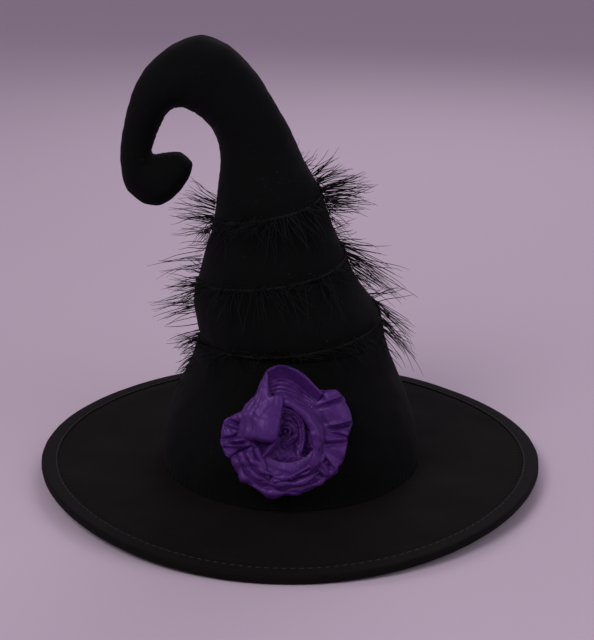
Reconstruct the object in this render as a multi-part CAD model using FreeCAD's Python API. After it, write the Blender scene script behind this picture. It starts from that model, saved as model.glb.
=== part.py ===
"""Curly witch hat: flat stiffened brim, flared crown base, curled crown, feather trim, satin rosette.

Millimetres. +Z is up, the brim rests on z = 0 and its centre is the origin.
-Y is the front of the hat, where the rosette sits, and the tip curls towards -X.
"""
import FreeCAD
import Part
import math
import os

V = FreeCAD.Vector

# Brim
BRIM_RADIUS = 200.0
BRIM_HOLE_RADIUS = 96.4
BINDING_THICKNESS = 0.8
BINDING_WIDTH = 13.0
CLOTH = 1.2
BRIM_FOAM = 3.2
EDGE_WIRE_RADIUS = 0.8
EDGE_WIRE_RING_RADIUS = 196.4
EDGE_CHANNEL = 4.6
EDGE_STITCH_PITCH = 6.0
EDGE_STITCH_LENGTH = 3.4
EDGE_STITCH_WIDTH = 0.5
EDGE_STITCH_INSET = 1.4

# Levels through the brim, from the floor up
UNDER_CLOTH_Z = BINDING_THICKNESS
CORE_Z = UNDER_CLOTH_Z + CLOTH
TOP_CLOTH_Z = CORE_Z + BRIM_FOAM
BRIM_TOP_Z = TOP_CLOTH_Z + CLOTH
BRIM_EDGE_Z = BRIM_TOP_Z + BINDING_THICKNESS

# Head opening
HEAD_RADIUS = 93.4
SWEATBAND = 1.0
SWEATBAND_LOW_Z = 3.0
SWEATBAND_LENGTH = 30.0
SEAM_TAPE = 0.8
SEAM_TAPE_TOP_Z = 10.0
LINING_GAP = 1.0

# Layers inside the crown, as depths under the cloth's outer face
FOAM_OUTER = CLOTH + 0.3
FOAM_INNER = FOAM_OUTER + 1.8
LINING_OUTER = FOAM_INNER + 0.1
LINING_INNER = LINING_OUTER + 0.5
STUFFING_OUTER = CLOTH + 0.8
WAIST_TAPE_OUTER = CLOTH + 0.4
WAIST_TAPE_THICKNESS = 0.5

# Waist seam, where the flared base meets the curled crown
WAIST_Z = 111.5
WAIST_RADIUS = 71.5
BASE_FOAM_TOP_Z = 106.5
WAIST_TAPE_LOW_Z = 107.5
WAIST_TAPE_TOP_Z = 114.0
CROWN_FOAM_LOW_Z = 114.5
CROWN_FOAM_TOP_Z = 242.0
LINING_TOP_Z = 238.0
LINING_LID = 0.8
WAIST_LEAD_IN = 6.0

# Flared base: height and outer radius, from the brim to the waist
BASE_PROFILE = [
    (BRIM_TOP_Z, 101.5),
    (20.0, 100.6),
    (35.0, 98.6),
    (50.0, 94.8),
    (62.0, 90.6),
    (74.0, 85.4),
    (84.0, 80.6),
    (92.0, 77.0),
    (102.0, 74.0),
    (WAIST_Z, WAIST_RADIUS),
]

# Curled crown, from the waist to the tip. Each station is a cross-section: the point on the inner
# side of the curl (x, z), the point on the outer side (x, z), and half the depth front to back.
CROWN_STATIONS = [
    (-71.5, 111.5, 71.5, 111.5, 71.5),
    (-73.0, 118.0, 72.2, 118.0, 72.3),
    (-74.2, 127.0, 70.3, 127.5, 71.5),
    (-75.0, 137.0, 65.0, 137.5, 69.0),
    (-74.8, 148.0, 56.5, 148.5, 64.5),
    (-72.0, 160.5, 48.5, 161.5, 59.0),
    (-68.7, 176.0, 41.0, 178.0, 53.5),
    (-63.0, 193.0, 32.0, 196.5, 46.5),
    (-59.5, 212.0, 26.0, 216.0, 41.5),
    (-57.0, 230.0, 17.5, 235.5, 36.5),
    (-55.0, 243.0, 8.5, 250.5, 31.5),
    (-54.3, 253.0, 2.5, 264.0, 29.0),
    (-55.5, 262.5, -4.0, 277.5, 28.0),
    (-59.0, 271.0, -12.0, 291.0, 27.5),
    (-64.5, 279.5, -21.0, 305.5, 27.0),
    (-71.0, 286.0, -32.5, 322.5, 26.5),
    (-78.0, 290.0, -48.0, 336.3, 26.0),
    (-84.0, 291.0, -67.5, 342.3, 25.0),
    (-89.3, 289.8, -88.0, 336.2, 23.0),
    (-93.2, 287.0, -104.0, 324.0, 20.5),
    (-96.8, 282.3, -113.3, 311.5, 18.5),
    (-99.7, 276.3, -120.0, 299.0, 16.5),
    (-102.6, 269.5, -124.8, 285.5, 15.0),
    (-105.4, 262.7, -127.8, 271.5, 14.0),
    (-107.0, 257.6, -130.0, 256.8, 14.0),
    (-106.9, 254.9, -129.9, 240.5, 14.5),
    (-106.1, 253.4, -125.5, 225.5, 15.0),
    (-104.6, 252.7, -113.5, 216.0, 15.5),
    (-101.7, 252.8, -101.0, 214.5, 15.5),
    (-96.5, 253.5, -91.0, 219.5, 15.0),
    (-90.5, 254.2, -83.8, 226.3, 13.5),
    (-85.5, 254.3, -79.3, 233.5, 11.5),
    (-80.5, 251.5, -76.8, 239.5, 8.0),
    (-77.6, 248.9, -75.8, 244.5, 3.0),
]
LAYER_STATIONS = 16
STUFFING_FIRST_STATION = 10
SHELL_LAST_STATION = 32
STUFFING_GAP = 1.1
CURL_WIRE_FIRST_STATION = 13
CURL_WIRE_STRIDE = 3
CURL_WIRE_RADIUS = 0.8
ARC_SHARE = 0.45

# Feather trim: a cord wound round the crown, with a fringe of barbs on each half turn.
# Turns are counted from the first crossing of the +X side and run round the front.
TRIM_FIRST_Z = 226.0
TRIM_PITCH = 48.0
TRIM_START_TURN = -0.12
TRIM_END_TURN = 2.75
TRIM_CORD_RADIUS = 1.1
TRIM_CORD_GAP = 1.1
TRIM_SPANS_PER_TURN = 16
TRIM_STATIONS = 12
FRINGE_REACH = [26.0, 16.0, 28.0, 26.0, 22.0, 10.0]
FRINGE_RISE = [8.0, 6.0, -12.0, -2.0, -14.0, -4.0]
FRINGE_HALF_TURN = 0.2
FRINGE_SECTIONS = 13
FRINGE_ROOT_HALF = 2.5
FRINGE_TIP_HALF = 5.0
FRINGE_STAND_OFF = 4.2

# Rosette, on the front of the flared base and tilted back with it
ROSETTE_X = -3.0
ROSETTE_Z = 66.0
ROSETTE_TILT = 22.0
ROSETTE_LIFT = 0.3
BACKING_RADIUS = 29.0
BACKING_THICKNESS = 1.5
PETAL_THICKNESS = 1.2
PETAL_FOOT = 2.4
RUFFLE_PROFILE = [(26.5, 2.2), (40.0, 4.0), (48.0, 8.0), (47.0, 11.0), (40.0, 8.2), (26.5, 5.2)]
BUD_PROFILE = [(0.0, 2.4), (5.0, 2.4), (7.5, 20.0), (5.0, 26.0), (0.0, 24.5)]
# Petals: name, foot radius, rim radius, rim height, first angle, last angle
PETALS = [
    ("rosette_petal_upper_left", 18.5, 35.0, 22.0, 92.0, 190.0),
    ("rosette_petal_top", 18.5, 35.0, 20.0, 28.0, 88.0),
    ("rosette_petal_bottom", 18.5, 36.0, 18.0, 196.0, 316.0),
    ("rosette_petal_right", 13.5, 25.0, 24.0, -75.0, 80.0),
    ("rosette_petal_lower_left", 13.5, 25.0, 22.0, 150.0, 280.0),
    ("rosette_petal_inner_top", 9.2, 14.5, 25.0, 15.0, 190.0),
    ("rosette_petal_inner_bottom", 9.2, 14.5, 22.0, 198.0, 366.0),
]
ROSETTE_TACKS = 4
ROSETTE_TACK_RING = 6.6
ROSETTE_TACK_SIZE = (1.0, 4.0, 0.5)

os.makedirs("parts", exist_ok=True)


def save(name, shape):
    """Write one sub-part to its own STEP file."""
    assert shape.isValid(), name
    shape.exportStep(f"parts/{name}.step")


def ring(inner, outer, low, high):
    """Flat or upright ring about the Z axis."""
    disc = Part.makeCylinder(outer, high - low, V(0, 0, low))
    hole = Part.makeCylinder(inner, high - low, V(0, 0, low))
    return disc.cut(hole)


def revolve(points):
    """Turn a closed outline of (radius, height) points about the Z axis."""
    corners = [V(r, 0, z) for r, z in points]
    outline = Part.makePolygon(corners + corners[:1])
    return Part.Face(outline).revolve(V(0, 0, 0), V(0, 0, 1), 360)


# ---------------------------------------------------------------- brim

def brim_binding():
    """Folded tape round the rim: a web and two legs, open towards the middle."""
    outer = ring(BRIM_RADIUS - BINDING_WIDTH, BRIM_RADIUS, 0, BRIM_EDGE_Z)
    inside = ring(
        BRIM_RADIUS - BINDING_WIDTH - 1,
        BRIM_RADIUS - BINDING_THICKNESS,
        BINDING_THICKNESS,
        BRIM_TOP_Z,
    )
    return outer.cut(inside)


def brim_edge_stitches():
    """Row of stitches lying on the inner edge of the binding's top leg."""
    radius = BRIM_RADIUS - BINDING_WIDTH + EDGE_STITCH_INSET
    count = round(2 * math.pi * radius / EDGE_STITCH_PITCH)
    stitches = []
    for i in range(count):
        bar = Part.makeBox(
            EDGE_STITCH_WIDTH,
            EDGE_STITCH_LENGTH,
            EDGE_STITCH_WIDTH / 2,
            V(radius, -EDGE_STITCH_LENGTH / 2, BRIM_EDGE_Z),
        )
        bar.rotate(V(0, 0, 0), V(0, 0, 1), 360.0 * i / count)
        stitches.append(bar)
    return Part.makeCompound(stitches)


def build_brim():
    cloth_edge = BRIM_RADIUS - BINDING_THICKNESS - 0.1
    core_edge = BRIM_RADIUS - BINDING_THICKNESS - EDGE_CHANNEL
    save("brim_under_cloth", ring(BRIM_HOLE_RADIUS, cloth_edge, UNDER_CLOTH_Z, CORE_Z))
    save("brim_foam_core", ring(BRIM_HOLE_RADIUS, core_edge, CORE_Z, TOP_CLOTH_Z))
    save("brim_top_cloth", ring(BRIM_HOLE_RADIUS, cloth_edge, TOP_CLOTH_Z, BRIM_TOP_Z))
    save("brim_edge_binding", brim_binding())
    wire_z = (CORE_Z + TOP_CLOTH_Z) / 2
    save(
        "brim_edge_wire",
        Part.makeTorus(EDGE_WIRE_RING_RADIUS, EDGE_WIRE_RADIUS, V(0, 0, wire_z)),
    )
    save("brim_edge_stitches", brim_edge_stitches())


# ---------------------------------------------------------------- head opening

def build_head_opening():
    outside = HEAD_RADIUS + SWEATBAND
    top = SWEATBAND_LOW_Z + SWEATBAND_LENGTH
    save("sweatband", ring(HEAD_RADIUS, outside, SWEATBAND_LOW_Z, top))
    tape_outside = BRIM_HOLE_RADIUS - 0.1
    save(
        "crown_brim_seam_tape",
        ring(tape_outside - SEAM_TAPE, tape_outside, UNDER_CLOTH_Z, SEAM_TAPE_TOP_Z),
    )


# ---------------------------------------------------------------- flared base

def base_radius(z):
    """Outer radius of the flared base at a height."""
    for (low, r_low), (high, r_high) in zip(BASE_PROFILE, BASE_PROFILE[1:]):
        if z <= high:
            return r_low + (r_high - r_low) * (z - low) / (high - low)
    return WAIST_RADIUS


def base_layer(outer_depth, inner_depth, low, top):
    """One layer of the flared base, between two depths under its outer face and two heights."""
    outer = Part.BSplineCurve()
    outer.interpolate([V(radius - outer_depth, 0, z) for z, radius in BASE_PROFILE])
    inner = Part.BSplineCurve()
    inner.interpolate([V(radius - inner_depth, 0, z) for z, radius in BASE_PROFILE])
    foot = Part.LineSegment(inner.StartPoint, outer.StartPoint)
    head = Part.LineSegment(outer.EndPoint, inner.EndPoint)
    edges = [curve.toShape() for curve in (foot, outer, head, inner)]
    outline = Part.Wire(Part.__sortEdges__(edges))
    layer = Part.Face(outline).revolve(V(0, 0, 0), V(0, 0, 1), 360)
    if low == BRIM_TOP_Z and top == WAIST_Z:
        return layer
    return layer.common(Part.makeCylinder(BRIM_RADIUS, top - low, V(0, 0, low)))


def build_base():
    save("crown_base_panel", base_layer(0, CLOTH, BRIM_TOP_Z, WAIST_Z))
    save("crown_base_foam", base_layer(FOAM_OUTER, FOAM_INNER, BRIM_TOP_Z, BASE_FOAM_TOP_Z))
    lining_low = SWEATBAND_LOW_Z + SWEATBAND_LENGTH + LINING_GAP
    save("crown_base_lining", base_layer(LINING_OUTER, LINING_INNER, lining_low, WAIST_Z))


# ---------------------------------------------------------------- curled crown

def section_axes(station):
    """Centre, half-width, half-depth and in-plane direction of one cross-section."""
    x_in, z_in, x_out, z_out, half_depth = station
    inner = V(x_in, 0, z_in)
    outer = V(x_out, 0, z_out)
    across = outer - inner
    half_width = across.Length / 2
    across.normalize()
    return (inner + outer) * 0.5, half_width, half_depth, across


def arc_edge(station, depth, side):
    """Half of a cross-section, front (side -1) or back (side 1), at a depth under the surface."""
    centre, half_width, half_depth, across = section_axes(station)
    a = half_width - depth
    b = half_depth - depth
    points = []
    for i in range(9):
        angle = math.pi * i / 8
        points.append(centre + across * (a * math.cos(angle)) + V(0, side * b * math.sin(angle), 0))
    curve = Part.BSplineCurve()
    curve.interpolate(Points=points, InitialTangent=V(0, side, 0), FinalTangent=V(0, -side, 0))
    return curve


def half_section(station, depth, side, overshoot=0.0):
    """Closed outline of half a cross-section, its flat side moved past the seam by overshoot."""
    arc = arc_edge(station, depth, side)
    start = arc.StartPoint
    end = arc.EndPoint
    if overshoot == 0:
        return Part.Wire([arc.toShape(), Part.makeLine(end, start)])
    beyond = V(0, -side * overshoot, 0)
    return Part.Wire([
        arc.toShape(),
        Part.makeLine(end, end + beyond),
        Part.makeLine(end + beyond, start + beyond),
        Part.makeLine(start + beyond, start),
    ])


def half_loft(stations, depth, side, overshoot=0.0):
    """Solid half of the crown between stations, at a depth under its surface."""
    wires = [half_section(station, depth, side, overshoot) for station in stations]
    return Part.makeLoft(wires, True, False)


def lead_in(stations):
    """The stations with one more below the waist, so that every layer passes it alike."""
    x_in, z_in, x_out, z_out, half_depth = stations[0]
    foot = (x_in, z_in - WAIST_LEAD_IN, x_out, z_out - WAIST_LEAD_IN, half_depth)
    return [foot] + stations


def slab(low, top):
    """Everything between two heights."""
    return Part.makeBox(2 * BRIM_RADIUS, 2 * BRIM_RADIUS, top - low, V(-BRIM_RADIUS, -BRIM_RADIUS, low))


def cloth_section(station, side):
    """Closed outline of the cloth in half a cross-section: outer arc, inner arc and two seam edges."""
    outer = arc_edge(station, 0, side)
    inner = arc_edge(station, CLOTH, side)
    return Part.Wire([
        outer.toShape(),
        Part.makeLine(outer.EndPoint, inner.EndPoint),
        inner.toShape(),
        Part.makeLine(inner.StartPoint, outer.StartPoint),
    ])


def crown_panel(side):
    """Front or back panel of the curled crown: half of the cloth shell, drawn together at the tip."""
    wires = [cloth_section(station, side) for station in CROWN_STATIONS]
    return Part.makeLoft(wires, True, False)


def crown_layer(outer_depth, inner_depth, low, top, side, lid=0.0):
    """Half of a layer inside the crown, between two depths under its surface and two heights."""
    stations = lead_in(CROWN_STATIONS[:LAYER_STATIONS])
    outer = half_loft(stations, outer_depth, side).common(slab(low, top))
    hollow = half_loft(stations, inner_depth, side, overshoot=4.0)
    if lid > 0:
        hollow = hollow.common(slab(0, top - lid))
    return outer.cut(hollow)


def rounded_path(points):
    """Wire through straight runs joined by tangent arcs, each as large as its runs allow."""
    edges = []
    last = points[0]
    for before, corner, after in zip(points, points[1:], points[2:]):
        arriving = (before - corner).normalize()
        leaving = (after - corner).normalize()
        half_inside = arriving.getAngle(leaving) / 2
        cut = ARC_SHARE * min((before - corner).Length, (after - corner).Length)
        radius = cut * math.tan(half_inside)
        towards = (arriving + leaving).normalize()
        start = corner + arriving * cut
        end = corner + leaving * cut
        middle = corner + towards * (radius / math.sin(half_inside) - radius)
        edges.append(Part.makeLine(last, start))
        edges.append(Part.Arc(start, middle, end).toShape())
        last = end
    edges.append(Part.makeLine(last, points[-1]))
    return Part.Wire(edges)


def curl_wire():
    """Round shaping wire along the middle of the curl."""
    stations = CROWN_STATIONS[CURL_WIRE_FIRST_STATION::CURL_WIRE_STRIDE]
    points = [section_axes(station)[0] for station in stations]
    path = rounded_path(points)
    profile = Part.Wire(Part.makeCircle(CURL_WIRE_RADIUS, points[0], points[1] - points[0]))
    return path.makePipeShell([profile], True, False)


def tip_stuffing():
    """Two wads of stuffing, front and back, with the shaping wire in the gap between them."""
    wads = []
    for side in (-1, 1):
        stations = []
        for x_in, z_in, x_out, z_out, depth in CROWN_STATIONS[STUFFING_FIRST_STATION:SHELL_LAST_STATION]:
            stations.append((x_in, z_in, x_out, z_out, depth - STUFFING_GAP))
        wad = half_loft(stations, STUFFING_OUTER, side)
        wad.translate(V(0, side * STUFFING_GAP, 0))
        wads.append(wad)
    return Part.makeCompound(wads)


def build_crown():
    for side, name in ((-1, "front"), (1, "back")):
        save(f"crown_{name}_panel", crown_panel(side))
        foam = crown_layer(FOAM_OUTER, FOAM_INNER, CROWN_FOAM_LOW_Z, CROWN_FOAM_TOP_Z, side)
        save(f"crown_{name}_foam", foam)
        lining = crown_layer(LINING_OUTER, LINING_INNER, WAIST_Z, LINING_TOP_Z, side, LINING_LID)
        save(f"crown_{name}_lining", lining)
    save("crown_waist_seam_tape", waist_seam_tape())
    save("crown_tip_stuffing", tip_stuffing())
    save("curl_wire", curl_wire())


def waist_seam_tape():
    """Seam tape inside the waist, across the join of base and crown."""
    outer = WAIST_RADIUS - WAIST_TAPE_OUTER
    return ring(outer - WAIST_TAPE_THICKNESS, outer, WAIST_TAPE_LOW_Z, WAIST_TAPE_TOP_Z)


# ---------------------------------------------------------------- feather trim

def between(pairs, z):
    """Value at a height, in line between (height, value) pairs that rise."""
    for (low, at_low), (high, at_high) in zip(pairs, pairs[1:]):
        if low <= z < high:
            return at_low + (at_high - at_low) * (z - low) / (high - low)
    return pairs[0][1]


def crown_surface(turn, z, stand_off):
    """Point at a height outside the crown, at a turn counted clockwise from +X seen from above."""
    stations = CROWN_STATIONS[:TRIM_STATIONS]
    if z < WAIST_Z:
        x_out = depth = base_radius(z)
        x_in = -x_out
    else:
        x_in = between([(station[1], station[0]) for station in stations], z)
        x_out = between([(station[3], station[2]) for station in stations], z)
        depth = between([(station[1], station[4]) for station in stations], z)
    angle = -2 * math.pi * turn
    across = (x_out - x_in) / 2 + stand_off
    return V((x_in + x_out) / 2 + across * math.cos(angle), (depth + stand_off) * math.sin(angle), z)


def trim_height(turn):
    return TRIM_FIRST_Z - TRIM_PITCH * turn


def feather_cord():
    """Cord of the feather trim, wound down round the crown."""
    spans = round((TRIM_END_TURN - TRIM_START_TURN) * TRIM_SPANS_PER_TURN)
    stand_off = TRIM_CORD_RADIUS + TRIM_CORD_GAP
    points = []
    for i in range(spans + 1):
        turn = TRIM_START_TURN + (TRIM_END_TURN - TRIM_START_TURN) * i / spans
        points.append(crown_surface(turn, trim_height(turn), stand_off))
    circles = []
    for i, point in enumerate(points):
        ahead = points[min(i + 1, spans)]
        behind = points[max(i - 1, 0)]
        circles.append(Part.Wire(Part.makeCircle(TRIM_CORD_RADIUS, point, ahead - behind)))
    return Part.makeLoft(circles, True, False)


def feather_fringe(index):
    """Fringe of barbs on one side crossing of the cord, as a soft wedge standing off the crown."""
    middle = index / 2
    wires = []
    for i in range(FRINGE_SECTIONS):
        share = 2 * i / (FRINGE_SECTIONS - 1) - 1
        turn = middle + FRINGE_HALF_TURN * share
        z = trim_height(turn)
        swell = 1 - 0.5 * share * share
        reach = FRINGE_REACH[index] * swell
        rise = FRINGE_RISE[index] * swell
        root = crown_surface(turn, z, FRINGE_STAND_OFF)
        tip = crown_surface(turn, z, FRINGE_STAND_OFF + reach) + V(0, 0, rise)
        corners = [
            root - V(0, 0, FRINGE_ROOT_HALF),
            tip - V(0, 0, FRINGE_TIP_HALF * swell),
            tip + V(0, 0, FRINGE_TIP_HALF * swell),
            root + V(0, 0, FRINGE_ROOT_HALF),
        ]
        wires.append(Part.makePolygon(corners + corners[:1]))
    return Part.makeLoft(wires, True, True)


def build_feather_trim():
    save("feather_trim_cord", feather_cord())
    for index in range(len(FRINGE_REACH)):
        save(f"feather_fringe_{index + 1}", feather_fringe(index))


# ---------------------------------------------------------------- rosette

def rosette_placement():
    """Local XY is the face of the rosette's backing and local Z points out from the crown."""
    touch = V(ROSETTE_X, -base_radius(ROSETTE_Z), ROSETTE_Z)
    rotation = FreeCAD.Rotation(V(1, 0, 0), 90.0 - ROSETTE_TILT)
    outward = rotation.multVec(V(0, 0, 1))
    return FreeCAD.Placement(touch + outward * ROSETTE_LIFT, rotation)


def placed(shape):
    moved = shape.copy()
    moved.Placement = rosette_placement().multiply(moved.Placement)
    return moved


def petal(foot_radius, rim_radius, rim_height, first, last):
    """Cupped petal: part of a curved wall rising and opening from foot to rim."""
    middle_radius = foot_radius + (rim_radius - foot_radius) * 0.35
    middle_height = PETAL_FOOT + (rim_height - PETAL_FOOT) * 0.55
    outer = Part.Arc(
        V(foot_radius, 0, PETAL_FOOT),
        V(middle_radius, 0, middle_height),
        V(rim_radius, 0, rim_height),
    )
    inner = Part.Arc(
        V(foot_radius - PETAL_THICKNESS, 0, PETAL_FOOT),
        V(middle_radius - PETAL_THICKNESS, 0, middle_height),
        V(rim_radius - PETAL_THICKNESS, 0, rim_height),
    )
    edges = [
        outer.toShape(),
        Part.makeLine(outer.EndPoint, inner.EndPoint),
        inner.toShape(),
        Part.makeLine(inner.StartPoint, outer.StartPoint),
    ]
    outline = Part.Wire(Part.__sortEdges__(edges))
    wall = Part.Face(outline).revolve(V(0, 0, 0), V(0, 0, 1), last - first)
    wall.rotate(V(0, 0, 0), V(0, 0, 1), first)
    return wall


def rosette_tacks():
    """Short threads that hold the petals' feet down on the backing."""
    threads = []
    for i in range(ROSETTE_TACKS):
        length, width, height = ROSETTE_TACK_SIZE
        base = V(ROSETTE_TACK_RING, -width / 2, BACKING_THICKNESS)
        thread = Part.makeBox(length, width, height, base)
        thread.rotate(V(0, 0, 0), V(0, 0, 1), 360.0 * i / ROSETTE_TACKS)
        threads.append(thread)
    return Part.makeCompound(threads)


def build_rosette():
    save("rosette_backing", placed(Part.makeCylinder(BACKING_RADIUS, BACKING_THICKNESS)))
    save("rosette_outer_ruffle", placed(revolve(RUFFLE_PROFILE)))
    for name, *sizes in PETALS:
        save(name, placed(petal(*sizes)))
    save("rosette_bud", placed(revolve(BUD_PROFILE)))
    save("rosette_tack_stitches", placed(rosette_tacks()))


build_brim()
build_head_opening()
build_base()
build_crown()
build_feather_trim()
build_rosette()
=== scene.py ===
"""Looks of the curly witch hat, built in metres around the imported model.

+Z is up and the brim rests on z = 0. -Y is the front of the hat, where the rosette sits, and the
tip curls towards -X. Cloth pieces are grids of points, thickened into closed shells.
"""
import math

import bmesh
import bpy
import numpy as np
from mathutils import Matrix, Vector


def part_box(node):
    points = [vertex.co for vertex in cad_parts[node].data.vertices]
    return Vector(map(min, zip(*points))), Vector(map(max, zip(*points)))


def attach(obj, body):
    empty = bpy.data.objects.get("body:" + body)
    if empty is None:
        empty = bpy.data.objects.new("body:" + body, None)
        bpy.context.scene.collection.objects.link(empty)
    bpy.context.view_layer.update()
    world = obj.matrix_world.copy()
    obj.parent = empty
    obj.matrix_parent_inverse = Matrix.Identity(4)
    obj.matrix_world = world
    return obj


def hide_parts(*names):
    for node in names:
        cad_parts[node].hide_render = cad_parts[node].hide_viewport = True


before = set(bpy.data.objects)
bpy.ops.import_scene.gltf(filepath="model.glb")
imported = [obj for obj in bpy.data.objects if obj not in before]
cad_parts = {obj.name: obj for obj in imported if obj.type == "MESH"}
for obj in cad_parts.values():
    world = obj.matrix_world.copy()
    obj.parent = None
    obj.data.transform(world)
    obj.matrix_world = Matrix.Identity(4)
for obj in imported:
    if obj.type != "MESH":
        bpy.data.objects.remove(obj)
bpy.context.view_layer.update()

MM = 0.001
TURN = 2 * math.pi

# Brim
BRIM_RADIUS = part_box("brim_edge_binding")[1].x
HOLE_RADIUS = 96.4 * MM
CORE_Z = 2.0 * MM
TOP_CLOTH_Z = 5.2 * MM
BRIM_TOP_Z = 6.4 * MM
BRIM_EDGE_Z = 7.2 * MM
CLOTH = 1.2 * MM
BINDING = 0.8 * MM
BINDING_WIDTH = 13.0 * MM
BINDING_INNER_EDGE = BRIM_RADIUS - BINDING_WIDTH
RIM_FOLD_RADIUS = 3.0 * MM
EDGE_WIRE_RING = 196.4 * MM
EDGE_WIRE_RADIUS = 0.8 * MM
STITCH_RING = 188.4 * MM
STITCHES = 197
RING_COLUMNS = 4 * STITCHES
BRIM_WAVE_START = 106 * MM
# Rise of the brim's edge as cosine waves round it: waves to the turn, height, and angle (degrees)
# of the first crest. Together the sides rise, and the front and the back rest on the floor.
BRIM_MEAN_RISE = 3.3 * MM
BRIM_WAVES = [(1, 2.0 * MM, -90), (2, 3.3 * MM, -5), (3, 2.1 * MM, -30)]

# Flared base: height and outer radius
BASE_PROFILE = MM * np.array([
    (6.4, 101.5),
    (20.0, 100.6),
    (35.0, 98.6),
    (50.0, 94.8),
    (62.0, 90.6),
    (74.0, 85.4),
    (84.0, 80.6),
    (92.0, 77.0),
    (102.0, 74.0),
    (111.5, 71.5),
])
WAIST_Z = 111.5 * MM

# Curled crown, from the waist to the tip: the point on the inner side of the curl (x, z), the
# point on its outer side (x, z) and half the depth from front to back
CROWN_STATIONS = MM * np.array([
    (-71.5, 111.5, 71.5, 111.5, 71.5),
    (-73.0, 118.0, 72.2, 118.0, 72.3),
    (-74.2, 127.0, 70.3, 127.5, 71.5),
    (-75.0, 137.0, 65.0, 137.5, 69.0),
    (-74.8, 148.0, 56.5, 148.5, 64.5),
    (-72.0, 160.5, 48.5, 161.5, 59.0),
    (-68.7, 176.0, 41.0, 178.0, 53.5),
    (-63.0, 193.0, 32.0, 196.5, 46.5),
    (-59.5, 212.0, 26.0, 216.0, 41.5),
    (-57.0, 230.0, 17.5, 235.5, 36.5),
    (-55.0, 243.0, 8.5, 250.5, 31.5),
    (-54.3, 253.0, 2.5, 264.0, 29.0),
    (-55.5, 262.5, -4.0, 277.5, 28.0),
    (-59.0, 271.0, -12.0, 291.0, 27.5),
    (-64.5, 279.5, -21.0, 305.5, 27.0),
    (-71.0, 286.0, -32.5, 322.5, 26.5),
    (-78.0, 290.0, -48.0, 336.3, 26.0),
    (-84.0, 291.0, -67.5, 342.3, 25.0),
    (-89.3, 289.8, -88.0, 336.2, 23.0),
    (-93.2, 287.0, -104.0, 324.0, 20.5),
    (-96.8, 282.3, -113.3, 311.5, 18.5),
    (-99.7, 276.3, -120.0, 299.0, 16.5),
    (-102.6, 269.5, -124.8, 285.5, 15.0),
    (-105.4, 262.7, -127.8, 271.5, 14.0),
    (-107.0, 257.6, -130.0, 256.8, 14.0),
    (-106.9, 254.9, -129.9, 240.5, 14.5),
    (-106.1, 253.4, -125.5, 225.5, 15.0),
    (-104.6, 252.7, -113.5, 216.0, 15.5),
    (-101.7, 252.8, -101.0, 214.5, 15.5),
    (-96.5, 253.5, -91.0, 219.5, 15.0),
    (-90.5, 254.2, -83.8, 226.3, 13.5),
    (-85.5, 254.3, -79.3, 233.5, 11.5),
    (-80.5, 251.5, -76.8, 239.5, 8.0),
    (-77.6, 248.9, -75.8, 244.5, 3.0),
])
LAST_STATION = len(CROWN_STATIONS) - 1
FACET_SHARE = 0.2

# Head opening: inner and outer radius, low and high level
SWEATBAND = (93.5 * MM, 94.4 * MM, 3.0 * MM, 33.0 * MM)
BRIM_TAPE = (95.5 * MM, 96.3 * MM, 0.8 * MM, 10 * MM)
WAIST_TAPE = (67.3 * MM, 67.8 * MM, 107.5 * MM, 114 * MM)

# Layers under the crown's cloth, as depths under its outer face
FOAM_DEPTHS = (2.3 * MM, 3.3 * MM)
LINING_DEPTHS = (3.4 * MM, 3.9 * MM)
STUFFING_DEPTH = 2.6 * MM

# Levels between which those layers lie
BASE_FOAM_LEVELS = (BRIM_TOP_Z, 106.5 * MM)
BASE_LINING_LEVELS = (34 * MM, 110.5 * MM)
CROWN_FOAM_LEVELS = (114.5 * MM, 242 * MM)
CROWN_LINING_LEVELS = (111.6 * MM, 226 * MM)

# Stations between which the filling lies, and up to which the crown rises without turning back
FILLED_STATIONS = (10, 31.4)
LAST_RISING_STATION = 17
GATHERS_AT_WAIST = 34
GATHERS_AT_FOOT = 88

# Feather trim: a cord wound down the crown; turns are counted clockwise from +X seen from above.
# At ROSETTE_TURN it passes above the rosette.
TRIM_FIRST_Z = 226 * MM
TRIM_PITCH = 48 * MM
TRIM_START_TURN = -0.12
TRIM_END_TURN = 2.75
TRIM_AXIS_X = -22 * MM
ROSETTE_TURN = 2.25

# Rosette: local u to the right, v up the slope of the base, n out from it
ROSETTE_TILT = math.radians(22)
BACKING_THICKNESS = 1.5 * MM
SATIN = 0.5 * MM
EYE = (-1.5, -0.7)


# ---------------------------------------------------------------- numbers and noise

def smooth_step(low, high, value):
    t = np.clip((value - low) / (high - low), 0, 1)
    return t * t * (3 - 2 * t)


def bump(value, centre, width):
    """Bell of height 1 round a centre."""
    return np.exp(-((value - centre) / width) ** 2)


def ripples(points, size, seed, waves=14):
    """Smooth seeded unevenness of a feature size, mostly within -1 and 1."""
    random = np.random.default_rng(seed)
    total = np.zeros(points.shape[:-1])
    for _ in range(waves):
        direction = random.normal(size=3)
        direction /= np.linalg.norm(direction)
        wavelength = size * random.uniform(0.7, 1.6)
        phase = random.uniform(0, TURN)
        total += np.sin(points @ direction * TURN / wavelength + phase)
    return total / (1.6 * math.sqrt(waves / 2))


def facets(points, size, seed, waves=4):
    """Flat faces that meet on crisp lines, as in crushed cloth."""
    random = np.random.default_rng(seed)
    drift = np.stack([ripples(points, 2.2 * size, seed + k) for k in (1, 2, 3)], -1)
    warped = points + 0.22 * size * drift
    total = np.zeros(points.shape[:-1])
    for _ in range(waves):
        direction = random.normal(size=3)
        direction /= np.linalg.norm(direction)
        phase = random.uniform(0, TURN)
        wavelength = size * random.uniform(0.7, 1.5)
        total += np.arcsin(np.sin(warped @ direction * TURN / wavelength + phase))
    return total / (1.2 * math.sqrt(waves))


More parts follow.
